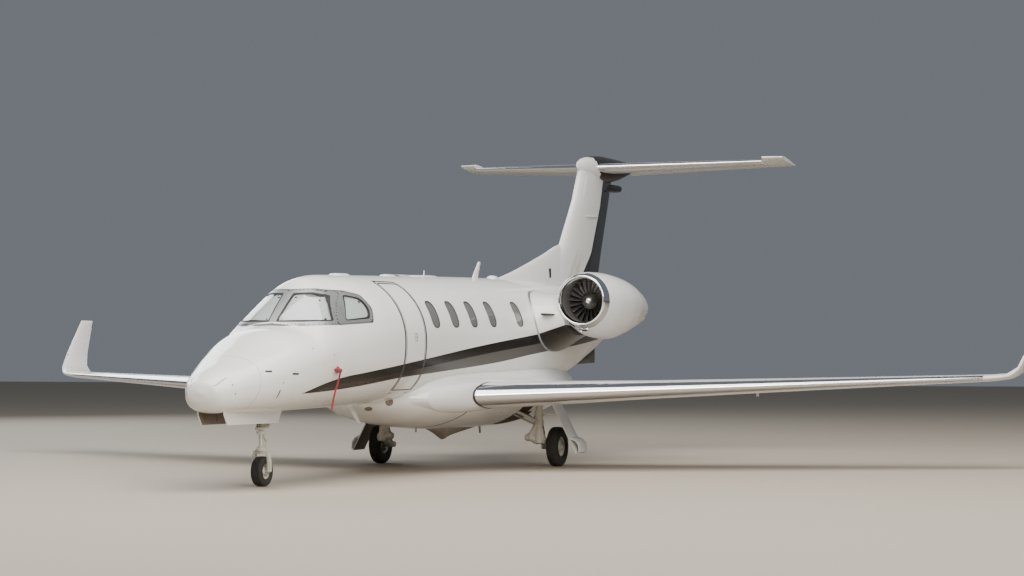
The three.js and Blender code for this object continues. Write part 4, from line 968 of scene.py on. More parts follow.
grouped("window_frame_rivets", rivets, "seal")
grouped("sunshade_cups", cups, "seal")
print("rivets:", len(rivets), "suction cups:", len(cups))

# %% [markdown]
# The entry door hinges along its sill and swings down, and its treads are on the inside. It is cut from the
# same barrel, so it lies flush when shut. A dark line shows round it, on the door's edge and on the hull.

# %% Entry door
TREADS = (1.33, 1.61, 1.89)  # heights, with the door shut
TREAD_LEAN = 0.15  # the upper ones lie farther out
STRIP_FOOT, SURROUND_TOP = 1.150, DOOR_TOP + 0.013  # the dark lines end here, clear of the sill as it swings

door_skin = trim(copy_of(barrel, "entry_door_skin"), [copy_of(cabin_space)])
trim(door_skin, [door_cut()], "INTERSECT")
inner_parts, mats = [], []
for z in TREADS:
    shift = (z - TREADS[0]) * TREAD_LEAN
    tread = between(4.05, 4.53, (0.5 + shift, 0.9), (z, z + 0.032))
    inner_parts.append(trim(tread, [body("inner", FUSELAGE, 0.02 - WALL, 3.6, 5.0, 0.1, 64)], "INTERSECT"))
    mat = between(4.055, 4.525, (0.505 + shift, 0.60 + shift), (z + 0.0325, z + 0.0345))
    mats.append(bevelled(mat, 0.0008))
inner_parts.append(rod(at(0.598, 4.09, 1.118), at(0.598, 4.49, 1.118), 0.0052, sides=20))
trim(door_skin, inner_parts, "UNION")
fit(door_skin, "livery", "entry_door", ["entry_door"])


def paint_faces(obj, finish_key, chosen):
    """A second finish on the faces whose middle and normal pass a test."""
    obj.data.materials.append(MATERIALS[finish_key])
    slot = len(obj.data.materials) - 1
    for face in obj.data.polygons:
        if chosen(face.center, face.normal):
            face.material_index = slot


def off_skin(place, normal):
    """Whether a face lies inside the outer skin rather than on it."""
    return skin_map.find_nearest(place)[3] > 0.004


paint_faces(door_skin, "trim", off_skin)
grouped("door_tread_mats", mats, "rubber", "entry_door")
surround = patch("door_surround", DOOR_REACH, 0.0012, -0.003, door_cut(0.042), [door_cut(0.0072)])
fit(trim(surround, [between(*DOOR_REACH, (0.1, 1.2), (STRIP_FOOT, SURROUND_TOP))], "INTERSECT"), "surround")
within_strip = trim(door_cut(-0.026), [between(*DOOR_REACH, (0.0, 1.3), (1.163, 3.0))], "INTERSECT")
door_edge = patch("door_edge_strip", DOOR_REACH, 0.0010, -0.003, door_cut(-0.013), [within_strip])
trim(door_edge, [between(*DOOR_REACH, (0.1, 1.2), (STRIP_FOOT, 3.0))], "INTERSECT")
fit(door_edge, "surround", "entry_door")
handle_place, handle_normal = touch(4.29, 1.855)
dish = revolved([(-0.006, 0), (-0.006, 0.05), (0.0012, 0.055), (0.0006, 0.046), (-0.002, 0.04), (-0.002, 0)],
                handle_place, handle_normal, 36)
fit(dish, "steel", "entry_door", name="door_handle_dish")
grip = [handle_place + Vector((0.001, reach, 0)) for reach in (-0.038, 0.038)]
fit(rod(*grip, 0.005, sides=14), "chrome", "entry_door", name="door_handle")
for panel in (radome, nose):
    paint_faces(panel, "bay", lambda place, normal: abs(place.x) < 0.1655 and off_skin(place, normal))
for panel in (cockpit, cabin):
    paint_faces(panel, "trim", off_skin)
print("entry door:", len(door_skin.data.polygons), "faces")

# %% [markdown]
# A wing is a row of aerofoil sections. The coarse solid in the frame has few points round each section, so
# here the same sections are drawn finely. Lugs and brackets are taken over from the solid by joining it to
# the skin.

# %% Wing sections
# Distance from the middle, station of the leading edge, height, chord, thickness ratio, cant in degrees.
WING = np.array([
    [0.820, 5.675, 1.048, 2.905, 0.135, 0],
    [3.000, 6.838, 1.128, 2.062, 0.125, 0],
    [5.200, 8.010, 1.209, 1.450, 0.118, 0],
    [7.420, 9.195, 1.290, 0.905, 0.110, 4],
    [7.690, 9.365, 1.318, 0.860, 0.100, 25],
    [7.825, 9.560, 1.430, 0.750, 0.090, 60],
    [7.880, 9.770, 1.620, 0.640, 0.085, 78],
    [7.9445, 10.330, 2.185, 0.350, 0.080, 84],
])
GLOVE = [
    [0.55, 4.66, 1.030, 3.44, 0.130, 0],
    [0.80, 4.85, 1.036, 3.25, 0.134, 0],
    [0.88, 4.99, 1.040, 3.11, 0.137, 0],
    [0.95, 5.20, 1.046, 2.90, 0.141, 0],
    [1.01, 5.50, 1.052, 2.60, 0.145, 0],
    [1.05, 5.77, 1.0565, 2.33, 0.148, 0],
]
TAILPLANE = np.array([
    [0, 13.330, 4.745, 1.480, 0.100, 0],
    [2.600, 14.600, 4.862, 0.900, 0.090, 0],
    [2.930, 14.765, 4.878, 0.820, 0.070, 0],
])
# Height, station of the leading edge, chord and thickness ratio.
FIN = np.array([[2.450, 10.980, 2.570, 0.06], [3.370, 11.930, 1.970, 0.09], [4.150, 12.560, 1.680, 0.10],
                [4.700, 12.860, 1.600, 0.10]])
BEHIND, LUG_REACH = 1.3, (7.5, 11.5)  # how far aft of its hinge a surface may end, and where lugs lie


def half_thickness(c):
    """The four-digit thickness curve, per unit of chord and of thickness ratio."""
    return 5 * (0.2969 * np.sqrt(c) - 0.126 * c - 0.3516 * c**2 + 0.2843 * c**3 - 0.1 * c**4)


def profile_of(chord, ratio, blunt, grow=0.0, steps=30):
    """Shares of the chord and half thicknesses, once round an aerofoil."""
    share = (1 - np.cos(np.linspace(0, math.pi, steps))) / 2
    half = (half_thickness(share) * ratio + blunt) * chord + grow
    return np.r_[share, share[-2::-1]], np.r_[half, -half[-2::-1]]


def aerofoil(row, grow=0.0):
    """One section of a wing, from a row of its table."""
    x, station, z, chord, ratio, cant = row
    tilt = math.radians(cant)
    share, half = profile_of(chord, ratio, 0.0015, grow)
    along = NOSE_Y + station - grow + share * (chord + 2 * grow)
    return np.c_[x - math.sin(tilt) * half, along, z + math.cos(tilt) * half]


def row_at(table, place, columns):
    """Some columns of a table, straight between its rows."""
    return [np.interp(place, table[:, 0], table[:, k]) for k in columns]


def wing_body(grow=0.0):
    reach = np.r_[0, np.cumsum(np.linalg.norm(np.diff(WING[:, :3], axis=0), axis=1))]
    table = np.c_[reach, WING]
    bend = [[column(table, k, place) for k in range(1, 7)] for place in np.linspace(reach[3], reach[-1], 26)]
    straight = [[x, *row_at(WING, x, range(1, 6))] for x in np.linspace(WING[0, 0], 7.2, 27)]
    return loft("wing", [aerofoil(row, grow) for row in [*straight, *bend]])


def tailplane_body(grow=0.0):
    rows = [np.r_[-row[0], row[1:]] for row in TAILPLANE[:0:-1]] + list(TAILPLANE)
    return loft("tailplane", [aerofoil(row, grow) for row in rows])


def chord_point(table, x, share):
    """A place on the chord line, and the half thickness there."""
    station, z, chord, ratio = row_at(table, x, (1, 2, 3, 4))
    return at(x, station + share * chord, z), half_thickness(share) * ratio * chord


def behind_hinge(start, end, grow=0.0, front=0.0):
    """Everything behind a hinge line, square to it at both ends."""
    along = (end - start).normalized()
    aft = Vector((0, 1, 0))
    aft = (aft - along * aft.dot(along)).normalized()
    across = along.cross(aft)
    box = crate((0, 0, 0), (1, 1, 1))
    corners = [start + along * a + aft * b + across * c
               for a in (-grow, (end - start).length + grow) for b in (-front, BEHIND) for c in (-0.45, 0.45)]
    for vertex, corner in zip(box.data.vertices, corners):
        vertex.co = corner
    face_outward(box)
    return box


def round_nosed(start, end, start_radius, end_radius, grow=0.0):
    """The same, with a rounded front."""
    along = (end - start).normalized() * grow
    nose = rod(start - along, end + along, start_radius + grow, end_radius + grow, 40)
    return trim(behind_hinge(start, end, grow), [nose], "UNION")


def solid_of(name):
    """A closed copy of a solid of the frame."""
    piece = copy_of(NODES[name], name + "_copy")
    piece.parent = None
    return weld(piece)


def turned_about(obj, place, axis, degrees):
    turn = Matrix.Rotation(math.radians(degrees), 4, axis)
    obj.data.transform(Matrix.Translation(place) @ turn @ Matrix.Translation(-place))
    return obj


def both_sides(piece, name, finish_key, replaced, rides="airframe", join=True):
    """The port piece and its mirror image, each joined to the lugs of the solid that it replaces."""
    pair = {"port": piece, "starboard": mirror(copy_of(piece))}
    for side, part in pair.items():
        if join:
            trim(part, [trim(solid_of(f"{replaced}_{side}"), [between(*LUG_REACH)], "INTERSECT")], "UNION")
        fit(part, finish_key, rides.format(side=side), [f"{replaced}_{side}"], f"{name}_{side}")
    return pair


def pair_of(piece, name, finish_key):
    """A fixed port piece and its mirror image."""
    fit(mirror(copy_of(piece)), finish_key, name=f"{name}_starboard")
    fit(piece, finish_key, name=f"{name}_port")


print("rows of the wing:", len(WING), "of the tailplane:", len(TAILPLANE))

# %% [markdown]
# The wing is cut as it is on the real aircraft: the polished edge ahead, the flap and the aileron behind
# their hinge lines, and the fixed part between them. A glove blends its root into the belly fairing.

# %% Wings
WHEEL_WELL, FLAP_ENDS, AILERON_ENDS = (0.72, 8.12), ((1.8, 0.75), (4.7, 0.73)), ((4.9, 0.76), (7.05, 0.76))
AILERON_REST = {"port": 7, "starboard": -5}  # degrees, trailing edge up
EDGE_ENDS, EDGE_SHARE = (1.080, 7.4), 0.085  # of the polished strip, and its share of the chord
ROOT_SEAL = (1.0515, 1.0795)

wheel_well = trim(rod(at(*WHEEL_WELL, 0.30), at(*WHEEL_WELL, 0.79), 0.31, sides=64),
                  [between(7.76, 8.18, (WHEEL_WELL[0], 1.325), (0.30, 0.94))], "UNION")
fairing_solid = body("fairing", FAIRING, SEAM, step=0.08)
barrel_seat = body("barrel seat", FUSELAGE, SEAM, 4.0, 12.5, 0.08, 96)
wing = trim(wing_body(), [loft("glove", [aerofoil(row) for row in GLOVE])], "UNION")
trim(wing, [copy_of(fairing_solid), copy_of(barrel_seat), copy_of(wheel_well)])
flap_line = [chord_point(WING, x, share)[0] for x, share in FLAP_ENDS]
aileron_line, aileron_radii = zip(*[chord_point(WING, x, share) for x, share in AILERON_ENDS])
flap = trim(copy_of(wing, "flap"), [behind_hinge(*flap_line)], "INTERSECT")
aileron = trim(copy_of(wing, "aileron"), [round_nosed(*aileron_line, *aileron_radii)], "INTERSECT")
trim(wing, [behind_hinge(*flap_line, RUNNING_GAP, RUNNING_GAP),
            round_nosed(*aileron_line, *aileron_radii, RUNNING_GAP)])


def edge_strip(grow=0.0):
    """The polished part of the leading edge, from above."""
    ends = []
    for x, step in zip(EDGE_ENDS, (-grow, grow)):
        station, chord = row_at(WING, x, (1, 3))
        ends.append((x + step, station + chord * EDGE_SHARE + grow))
    (x0, s0), (x1, s1) = ends
    return prism([(x0, s0 - 0.9), (x0, s0), (x1, s1), (x1, s1 - 0.9)], at, 0.5, 2.0)


leading = trim(copy_of(wing, "edge"), [edge_strip()], "INTERSECT")
trim(wing, [edge_strip(SEAM)])
both_sides(wing, "wing_skin", "white", "wing")
both_sides(leading, "leading_edge_skin", "edge", "leading_edge", join=False)
both_sides(flap, "flap_skin", "white", "flap", "flap_{side}")
seal_rows = [[x, *row_at(WING, x, (1, 2, 3, 4)), 0] for x in ROOT_SEAL]
root_seal = trim(loft("root seal", [aerofoil(row, 0.003) for row in seal_rows]), [wing_body()])
trim(root_seal, [between(5.5, 6.4, (0.9, 1.2), (0.5, 1.5))], "INTERSECT")
pair_of(root_seal, "wing_root_seal", "seal")
aileron_axis = (aileron_line[1] - aileron_line[0]).normalized()
for side, sign in SIDES.items():
    part = turned_about(copy_of(aileron), aileron_line[0], aileron_axis, AILERON_REST[side])
    if sign < 0:
        mirror(part)
    fit(part, "white", f"aileron_{side}", [f"aileron_{side}"], f"aileron_skin_{side}")
discard(aileron)
print("wing skins:", [name for name in made if "wing" in name])

# %% [markdown]
# The belly fairing hides the wing's centre section and the wheel wells. It is a body of its own below the
# barrel.

# %% Belly fairing
WELL_TOP, WELL_INNER = 0.945, 0.40
fairing = trim(body("belly_fairing_skin", FAIRING, step=0.05), [copy_of(barrel_seat)])
trim(fairing, [copy_of(wheel_well), mirror(copy_of(wheel_well))])
fit(fairing, "white", replaces=["belly_fairing"])


def in_well(place, normal):
    upright = abs(normal.z) < 0.02 or normal.z < -0.999
    return place.z < WELL_TOP and upright and abs(place.x) > WELL_INNER


paint_faces(fairing, "bay", in_well)
fairing_map = surface_of(fairing_solid)


def touch_below(x, station):
    """The place and normal of the fairing, reached from below."""
    return fairing_map.ray_cast(at(x, station, -1), Vector((0, 0, 1)))[:2]


seam_stops = [touch_below(x, 5.93 + 0.10 * math.cos(x * 1.9) ** 2)
              for x in np.sin(np.linspace(-1.18, 1.18, 60))]
fit(ribbon(seam_stops, 0.017, 0.0016), "seal", name="belly_panel_seam")
print("belly fairing:", len(fairing.data.polygons), "faces")


# %% [markdown]
# The T-tail: a swept fin with a long dorsal fillet, a dark bullet where the tailplane crosses it, a dark
# rudder, and elevators that droop with no pressure in the controls.

# %% Tail
RUDDER_FOOT, RUDDER_HEAD = (2.960, 0.71), (4.420, 0.74)  # height, and share of the chord, of its hinge line
RUDDER_ENDS, RUDDER_END_GAP = (3.0, 4.37), 0.026
ELEVATOR_ENDS, ELEVATOR_REST = ((0.36, 0.64), (2.93, 0.64)), -7
HORN_ROOT, FIXED_HALF = 2.616, 2.6  # the horn starts here, and the fixed tailplane ends here
SCOOP = np.array([
    [14.02, 4.430, 4.395, 0.010, 4.41], [14.15, 4.480, 4.370, 0.036, 4.43],
    [14.45, 4.520, 4.385, 0.050, 4.46], [14.72, 4.525, 4.400, 0.046, 4.47],
    [14.86, 4.520, 4.415, 0.040, 4.475],
])


def fin_ring(z):
    station, chord, ratio = row_at(FIN, z, (1, 2, 3))
    share, half = profile_of(chord, ratio, 0.002)
    return np.c_[half, NOSE_Y + station + share * chord, np.full(len(share), z)]


def fin_point(z, share):
    """A place on the rudder's hinge line, and the radius of its front there."""
    station, chord, ratio = row_at(FIN, z, (1, 2, 3))
    return at(0, station + share * chord, z), (half_thickness(share) * ratio + 0.0045) * chord


dorsal = body("dorsal", DORSAL, step=0.08, sides=64)
fin = trim(loft("fin", [fin_ring(z) for z in FIN[:, 0]]), [dorsal], "UNION")
(foot, foot_half), (head, head_half) = fin_point(*RUDDER_FOOT), fin_point(*RUDDER_HEAD)
beyond = head + (head - foot).normalized() * 0.4


def rudder_cut(grow=0.0, end_gap=0.0):
    cut = round_nosed(foot, beyond, foot_half, head_half, grow)
    reach = (RUDDER_ENDS[0] - end_gap, RUDDER_ENDS[1] + end_gap)
    return trim(cut, [between(12.0, 15.5, (-0.4, 0.4), reach)], "INTERSECT")


rudder = trim(copy_of(fin, "rudder_skin"), [rudder_cut()], "INTERSECT")
bullet_seat = body("bullet seat", BULLET, SEAM, step=0.08, sides=64)
trim(fin, [copy_of(barrel_seat), copy_of(bullet_seat), rudder_cut(RUNNING_GAP, RUDDER_END_GAP)])
fin_lugs = trim(solid_of("fin"), [between(12.9, 15.0, (-0.3, 0.3), (2.97, 4.46))], "INTERSECT")
trim(fin, [fin_lugs], "UNION")
fit(fin, "fin", replaces=["fin"], name="fin_skin")
fit(rudder, "dark", "rudder", ["rudder"])
bullet = trim(body("tail_bullet_skin", BULLET, step=0.06, sides=72), [tailplane_body(SEAM)])
fit(bullet, "dark", replaces=["tail_bullet"])
paint_faces(bullet, "white", lambda place, normal: (
    place.z < 4.90 and place.y - NOSE_Y < 13.35 + (4.9 - place.z) * 0.9))
fit(trim(body("tail_scoop", SCOOP, step=0.04, sides=40), [copy_of(fin), bullet_seat]), "dark")

hinge_line, hinge_radii = zip(*[chord_point(TAILPLANE, x, share) for x, share in ELEVATOR_ENDS])
whole_tailplane = tailplane_body()
horn = between(14.0, 16.0, (HORN_ROOT, 3.2), (4.5, 5.2))
elevator_tool = trim(round_nosed(*hinge_line, *hinge_radii), [horn], "UNION")
elevator = trim(copy_of(whole_tailplane), [elevator_tool], "INTERSECT")
turned_about(elevator, hinge_line[0], (hinge_line[1] - hinge_line[0]).normalized(), ELEVATOR_REST)
gap_tool = round_nosed(*hinge_line, *hinge_radii, RUNNING_GAP)
tailplane = trim(whole_tailplane, [crate((-FIXED_HALF, 5, 4), (FIXED_HALF, 9, 6))], "INTERSECT")
trim(tailplane, [gap_tool, mirror(copy_of(gap_tool))])
trim(tailplane, [solid_of("tailplane")], "UNION")
fit(tailplane, "white", replaces=["tailplane"], name="tailplane_skin")
both_sides(elevator, "elevator_skin", "white", "elevator", "elevator_{side}", join=False)


def on_tail_edge(place, normal):
    """Whether a face is on the polished part of the tailplane's leading edge."""
    front, chord = row_at(TAILPLANE, abs(place.x), (1, 3))
    return abs(place.x) > 0.16 and place.y - NOSE_Y < front + chord * 0.075


paint_faces(tailplane, "edge", on_tail_edge)
print("tail skins:", [name for name in made if "tail" in name or "fin" in name or "rudder" in name])

# %% [markdown]
# Each engine hangs beside the tail on a pylon. The inlet lip is bare polished metal, and the fan with its
# bright spinner turns inside the duct. The nacelle is deeper below than above, as its accessories hang under
# the core.

# %% Engines
ENGINE_X, ENGINE_STATION, ENGINE_Z = 1.540, 8.750, 2.425
LIP_LENGTH, LIP_BAND = 0.095, 0.155  # of the lip itself, and of the polish that runs on over the cowl
# Distance behind the inlet, then how far the cowl reaches up, down and sideways.
NACELLE = np.array([
    [0, 0.3550, 0.3550, 0.3550],
    [0.004, 0.3625, 0.363, 0.3625],
    [0.012, 0.3700, 0.371, 0.3700],
    [0.025, 0.3785, 0.380, 0.3780],
    [0.090, 0.3960, 0.402, 0.3920],
    [0.250, 0.420, 0.455, 0.424],
    [0.600, 0.425, 0.545, 0.466],
    [1.000, 0.408, 0.565, 0.478],
    [1.400, 0.378, 0.505, 0.452],
    [1.800, 0.325, 0.405, 0.388],
    [2.100, 0.278, 0.322, 0.325],
    [2.300, 0.248, 0.268, 0.270],
])
# Distance behind the inlet and radius.
DUCT = np.array([
    [-0.02, 0.3545], [0, 0.3535], [0.004, 0.346], [0.012, 0.3395], [0.035, 0.332], [0.095, 0.322],
    [0.300, 0.338], [0.420, 0.345], [0.730, 0.345], [0.880, 0.372], [1.300, 0.350], [1.800, 0.290],
    [2.100, 0.235], [2.350, 0.212],
])


def engine_ring(distance, top, bottom, side, sides):
    """A ring about the engine's middle line, which droops towards the exhaust."""
    turn = np.linspace(0, math.tau, sides, endpoint=False)
    z = ENGINE_Z - 0.09 * (max(0.0, distance - 0.6) / 1.7) ** 2
    rise = np.where(np.sin(turn) > 0, top, bottom) * np.sin(turn)
    return np.c_[ENGINE_X + side * np.cos(turn), np.full(sides, NOSE_Y + ENGINE_STATION + distance), z + rise]


def nacelle_body(grow=0.0):
    distances = np.r_[NACELLE[:4, 0], np.linspace(0.035, NACELLE[-1, 0], 60)]
    return loft("nacelle", [engine_ring(d, *[column(NACELLE, k, d) + grow for k in (1, 2, 3)], 112)
                            for d in distances])


def duct_body():
    distances = np.r_[DUCT[:5, 0], np.linspace(0.05, DUCT[-1, 0], 47)]
    return loft("duct", [engine_ring(d, *[column(DUCT, 1, d)] * 3, 96) for d in distances])


def up_to(distance):
    return between(8.0, ENGINE_STATION + distance, (0.9, 2.2), (1.5, 3.3))


cowl = trim(nacelle_body(), [duct_body()])
lip = trim(copy_of(cowl), [up_to(LIP_LENGTH)], "INTERSECT")
trim(cowl, [up_to(LIP_LENGTH + SEAM)])
both_sides(lip, "inlet_lip_skin", "lip", "inlet_lip", join=False)
nacelles = both_sides(cowl, "nacelle_skin", "white", "nacelle", join=False)


def inside_duct(place, normal):
    reach = math.hypot(abs(place.x) - ENGINE_X, place.z - ENGINE_Z)
    inward = normal.x * (place.x - math.copysign(ENGINE_X, place.x)) + normal.z * (place.z - ENGINE_Z) < 0
    return inward and reach < 0.40


def lip_band(place, normal):
    return place.y < NOSE_Y + ENGINE_STATION + LIP_BAND and not inside_duct(place, normal)


for part in nacelles.values():
    paint_faces(part, "duct", inside_duct)
    paint_faces(part, "lip", lip_band)
print("nacelles:", sorted(nacelles))

# %% [markdown]
# Fan blades twist from a coarse angle at the root to a flat one at the tip, where they move fastest. Each
# blade is a loft of thin cambered sections, and the set is copied round the hub.

# %% Fans, cores and pylons
BLADES, VANES = 22, 32
# Radius, chord and pitch in degrees. Then a blade's section, across and through it.
FAN_BLADE = np.array([[0.095, 0.092, 28], [0.215, 0.104, 42], [0.337, 0.112, 57]])
BLADE_ACROSS = np.array([-0.5, -0.25, 0.05, 0.3, 0.5, 0.3, 0.05, -0.25])
BLADE_THICK = np.array([0.0004, 0.0026, 0.0032, 0.0022, 0.0004, -0.0022, -0.0032, -0.0026])
FAN_HUB = [(0.412, 0), (0.412, 0.1055), (0.445, 0.112), (0.5, 0.112), (0.5, 0)]
SPINNER = [(0.4115, 0), (0.4115, 0.137), (0.39, 0.130), (0.36, 0.112), (0.33, 0.087), (0.3, 0.056),
           (0.282, 0.031), (0.2735, 0.013), (0.2705, 0)]
VANE = [(0.5230, 0.0), (0.5300, 0.0016), (0.5400, 0.0020), (0.5595, 0.0003), (0.5595, -0.0003),
        (0.5400, -0.0012), (0.5300, -0.0012)]
PYLON = [[0.560, 8.560, 2.030, 2.750, 0.4, 0], [1.250, 8.800, 2.190, 2.130, 0.26, 0]]
AFT, UP = (0, 1, 0), (0, 0, 1)


def fan_blade():
    rings = []
    for radius in np.linspace(0.100, 0.336, 9):
        chord, pitch = row_at(FAN_BLADE, radius, (1, 2))
        lean = math.radians(pitch)
        u = BLADE_ACROSS * chord
        v = BLADE_THICK + 0.007 * (1 - (BLADE_ACROSS * 2) ** 2)
        sweep = 0.010 * math.sin((radius - 0.1) / 0.236 * math.pi)
        across = u * math.sin(lean) + v * math.cos(lean)
        along = u * math.cos(lean) - v * math.sin(lean) - sweep
        rings.append(np.c_[across, along, np.full(8, radius)])
    return loft("blade", rings)


def stator_vane():
    return prism(VANE, lambda along, across, out: (across, along, out), 0.046, 0.3445)


def set_round(count, centre, make):
    """Equal pieces about a line that runs along the aircraft."""
    pieces = []
    for k in range(count):
        piece = make()
        piece.data.transform(Matrix.Translation(centre) @ Matrix.Rotation(k / count * math.tau, 4, "Y"))
        pieces.append(piece)
    return pieces


hub_centre = at(ENGINE_X, ENGINE_STATION, ENGINE_Z)
first, *others = set_round(BLADES, at(ENGINE_X, ENGINE_STATION + 0.45, ENGINE_Z), fan_blade)
others.append(revolved(FAN_HUB, hub_centre, AFT))
both_sides(trim(first, others, "UNION"), "fan_blades", "fan", "fan", "fan_{side}", join=False)
for side, sign in SIDES.items():
    spinner = revolved(SPINNER, at(sign * ENGINE_X, ENGINE_STATION, ENGINE_Z), AFT)
    fit(spinner, "spinner", f"fan_{side}", name=f"spinner_{side}")
vanes = grouped("stator_vanes_port", set_round(VANES, hub_centre, stator_vane), "steel")
fit(mirror(copy_of(vanes)), "steel", name="stator_vanes_starboard")


def refined(name, finish_key, rides="airframe", width=0.0, template=None):
    """A solid of the frame with its edges eased and its shading smoothed."""
    piece = solid_of(name)
    if template:
        trim(piece, [template], "INTERSECT")
    if width:
        bevelled(piece, width)
    return fit(piece, finish_key, rides, [name], f"{name}_finished")


for side in SIDES:
    refined(f"engine_core_{side}", "hot")
pylon = trim(loft("pylon", [aerofoil(row) for row in PYLON]), [copy_of(barrel_seat), nacelle_body(SEAM)])
pylon_seal = loft("seal", [aerofoil(row, 0.005) for row in PYLON])
trim(pylon_seal, [body("near", FUSELAGE, 0.020, 8.0, 12.0, 0.08, 96)], "INTERSECT")
trim(pylon_seal, [copy_of(barrel_seat), loft("inner", [aerofoil(row, 0.0004) for row in PYLON])])
pair_of(pylon_seal, "pylon_seal", "strip")
both_sides(pylon, "pylon_skin", "pylon", "pylon", join=False)
# The pylon's slot is a dark block: painted shade for the open inlet.
slot = rounded([(0.96, 2.20), (1.13, 2.205), (1.13, 2.225), (0.96, 2.235)], 0.008)
grouped("pylon_slots", [front_prism(slot, sign, 8.62, 8.82) for sign in SIDES.values()], "seal")
print("engines:", [name for name in made if "fan" in name or "nacelle" in name])


# %% [markdown]
# Tyres are revolved from their outline with the grooves in it. The rims are lathed, bolted halves. Light
# enamel covers the legs, and the sliding tube of the nose leg is bare chrome.

# %% Wheels
# Radius, width, radii of the rim and the bore, places of the grooves, number of bolts.
NOSE_WHEEL = (0.186, 0.150, 0.095, 0.0167, (-0.03, 0, 0.03), 6)
MAIN_WHEEL = (0.287, 0.172, 0.140, 0.030, (-0.045, -0.015, 0.015, 0.045), 9)
NOSE_HUB = at(0, 1.58, NOSE_WHEEL[0])
MAIN_HUBS = {side: at(sign * 1.41, 8.12, MAIN_WHEEL[0]) for side, sign in SIDES.items()}
# Shares of the half width, and of the way from the rim to the tread.
TYRE_WALL = [(0.75, 0.0), (0.86, 0.06), (0.97, 0.22), (1.0, 0.38), (0.985, 0.58), (0.93, 0.76), (0.84, 0.88),
             (0.73, 0.945)]
# Shares of the half width and of the rim's radius.
RIM_FACE = [(0.62, 0.36), (0.56, 0.42), (0.30, 0.52), (0.28, 0.74), (0.5, 0.86), (0.70, 0.9),
            (0.74, 0.985), (0.70, 1)]
GROOVE = ((0.0045, 0), (0.0030, 0.0065), (-0.0030, 0.0065), (-0.0045, 0))  # places across one, and depths
BEAD_GAP = 0.0006


def two_faced(right, middle, hub, sides):
    """A turned piece whose two faces are alike."""
    return revolved([*right, *middle, *[(-x, r) for x, r in reversed(right)]], hub, sides=sides)


def tyre(radius, width, rim, hub, grooves):
    half, wall = width / 2, radius - rim
    right = [(w * half, rim + BEAD_GAP + r * (wall - BEAD_GAP)) for w, r in TYRE_WALL]
    crown = []
    for place in sorted(grooves, reverse=True):
        level = radius - (abs(place) / half) ** 2 * wall * 0.08
        crown += [(place + shift, level - depth) for shift, depth in GROOVE]
    return two_faced(right, crown, hub, 96)


def bolt_heads(half, rim, hub, bolts):
    heads = []
    for sign in SIDES.values():
        for k in range(bolts):
            a = k / bolts * math.tau
            spot = hub + Vector((sign * half * 0.29, rim * 0.64 * math.cos(a), rim * 0.64 * math.sin(a)))
            ends = [spot + Vector((sign * reach, 0, 0)) for reach in (-0.004, 0.011)]
            heads.append(rod(*ends, rim * 0.045, sides=6))
    return heads


def wheel(name, size, hub, rides):
    """The tyre, the rim and the bolts of one wheel."""
    radius, width, rim, bore, grooves, bolts = size
    half = width / 2
    fit(tyre(radius, width, rim, hub, grooves), "rubber", rides, [f"{name}_tyre"], f"{name}_tyre_tread")
    face = [(half * RIM_FACE[0][0], bore)] + [(half * w, rim * r) for w, r in RIM_FACE]
    fit(two_faced(face, [], hub, 72), "gear", rides, [f"{name}_rim"], f"{name}_rim_lathed")
    grouped(f"{name}_rim_bolts", bolt_heads(half, rim, hub, bolts), "steel", rides)


wheel("nose", NOSE_WHEEL, NOSE_HUB, "nose_wheel")
for side, hub in MAIN_HUBS.items():
    wheel(f"main_{side}", MAIN_WHEEL, hub, f"main_wheel_{side}")
print("wheels:", [name for name in made if "tyre" in name])

# %% [markdown]
# The legs keep the frame's solids with their edges eased. Around them go the parts that a visitor notices:
# chrome piston, brake discs, hoses and the lamp on the nose leg.

# %% Landing gear
NOSE_LEG, HOSE = 1.555, 0.0065  # the station of the nose leg's axis, and the radius of a hose
MAIN_LEG_X, MAIN_LEG_STATION = 1.235, 7.85
NOSE_DOOR = [(0.262, 1.06), (0.262, 0.93), (0.36, 0.7845), (1.66, 0.7845), (1.758, 0.93), (1.758, 1.06)]
LAMP_SHELL = [(0.050, 0), (0.046, 0.03), (0.02, 0.050), (-0.03, 0.056), (-0.03, 0.051), (0.012, 0.045),
              (0.03, 0.026), (0.034, 0)]
LAMP_FACE = [(-0.024, 0), (-0.024, 0.0505), (-0.029, 0.0505), (-0.033, 0.03), (-0.034, 0)]
NOSE_HOSE = [(1, 0.052, 0.95), (1.1, 0.062, 0.84), (0.9, 0.06, 0.72)]  # share of x, distance ahead, height
BRAKE_HOSE = [(-0.06, -0.01, 0.80), (-0.075, 0.01, 0.60), (-0.05, 0.08, 0.42), (-0.052, 0.20, 0.33)]
BRAKE = [(-0.075, 0.046), (-0.075, 0.105), (-0.058, 0.116), (-0.052, 0.116), (-0.052, 0.046)]
WHEEL_CAP = [(0.026, 0), (0.026, 0.024), (0.058, 0.024), (0.066, 0.018), (0.070, 0)]


def by_leg(sign, out, aft, z):
    """A place near a main leg: metres outboard of its axis and behind it, and a height."""
    return at(sign * (MAIN_LEG_X + out), MAIN_LEG_STATION + aft, z)


def paint_inside(door, sign):
    """Bay lining on the inner face of a gear door."""
    paint_faces(door, "bay", lambda place, normal: normal.x * sign < -0.5)


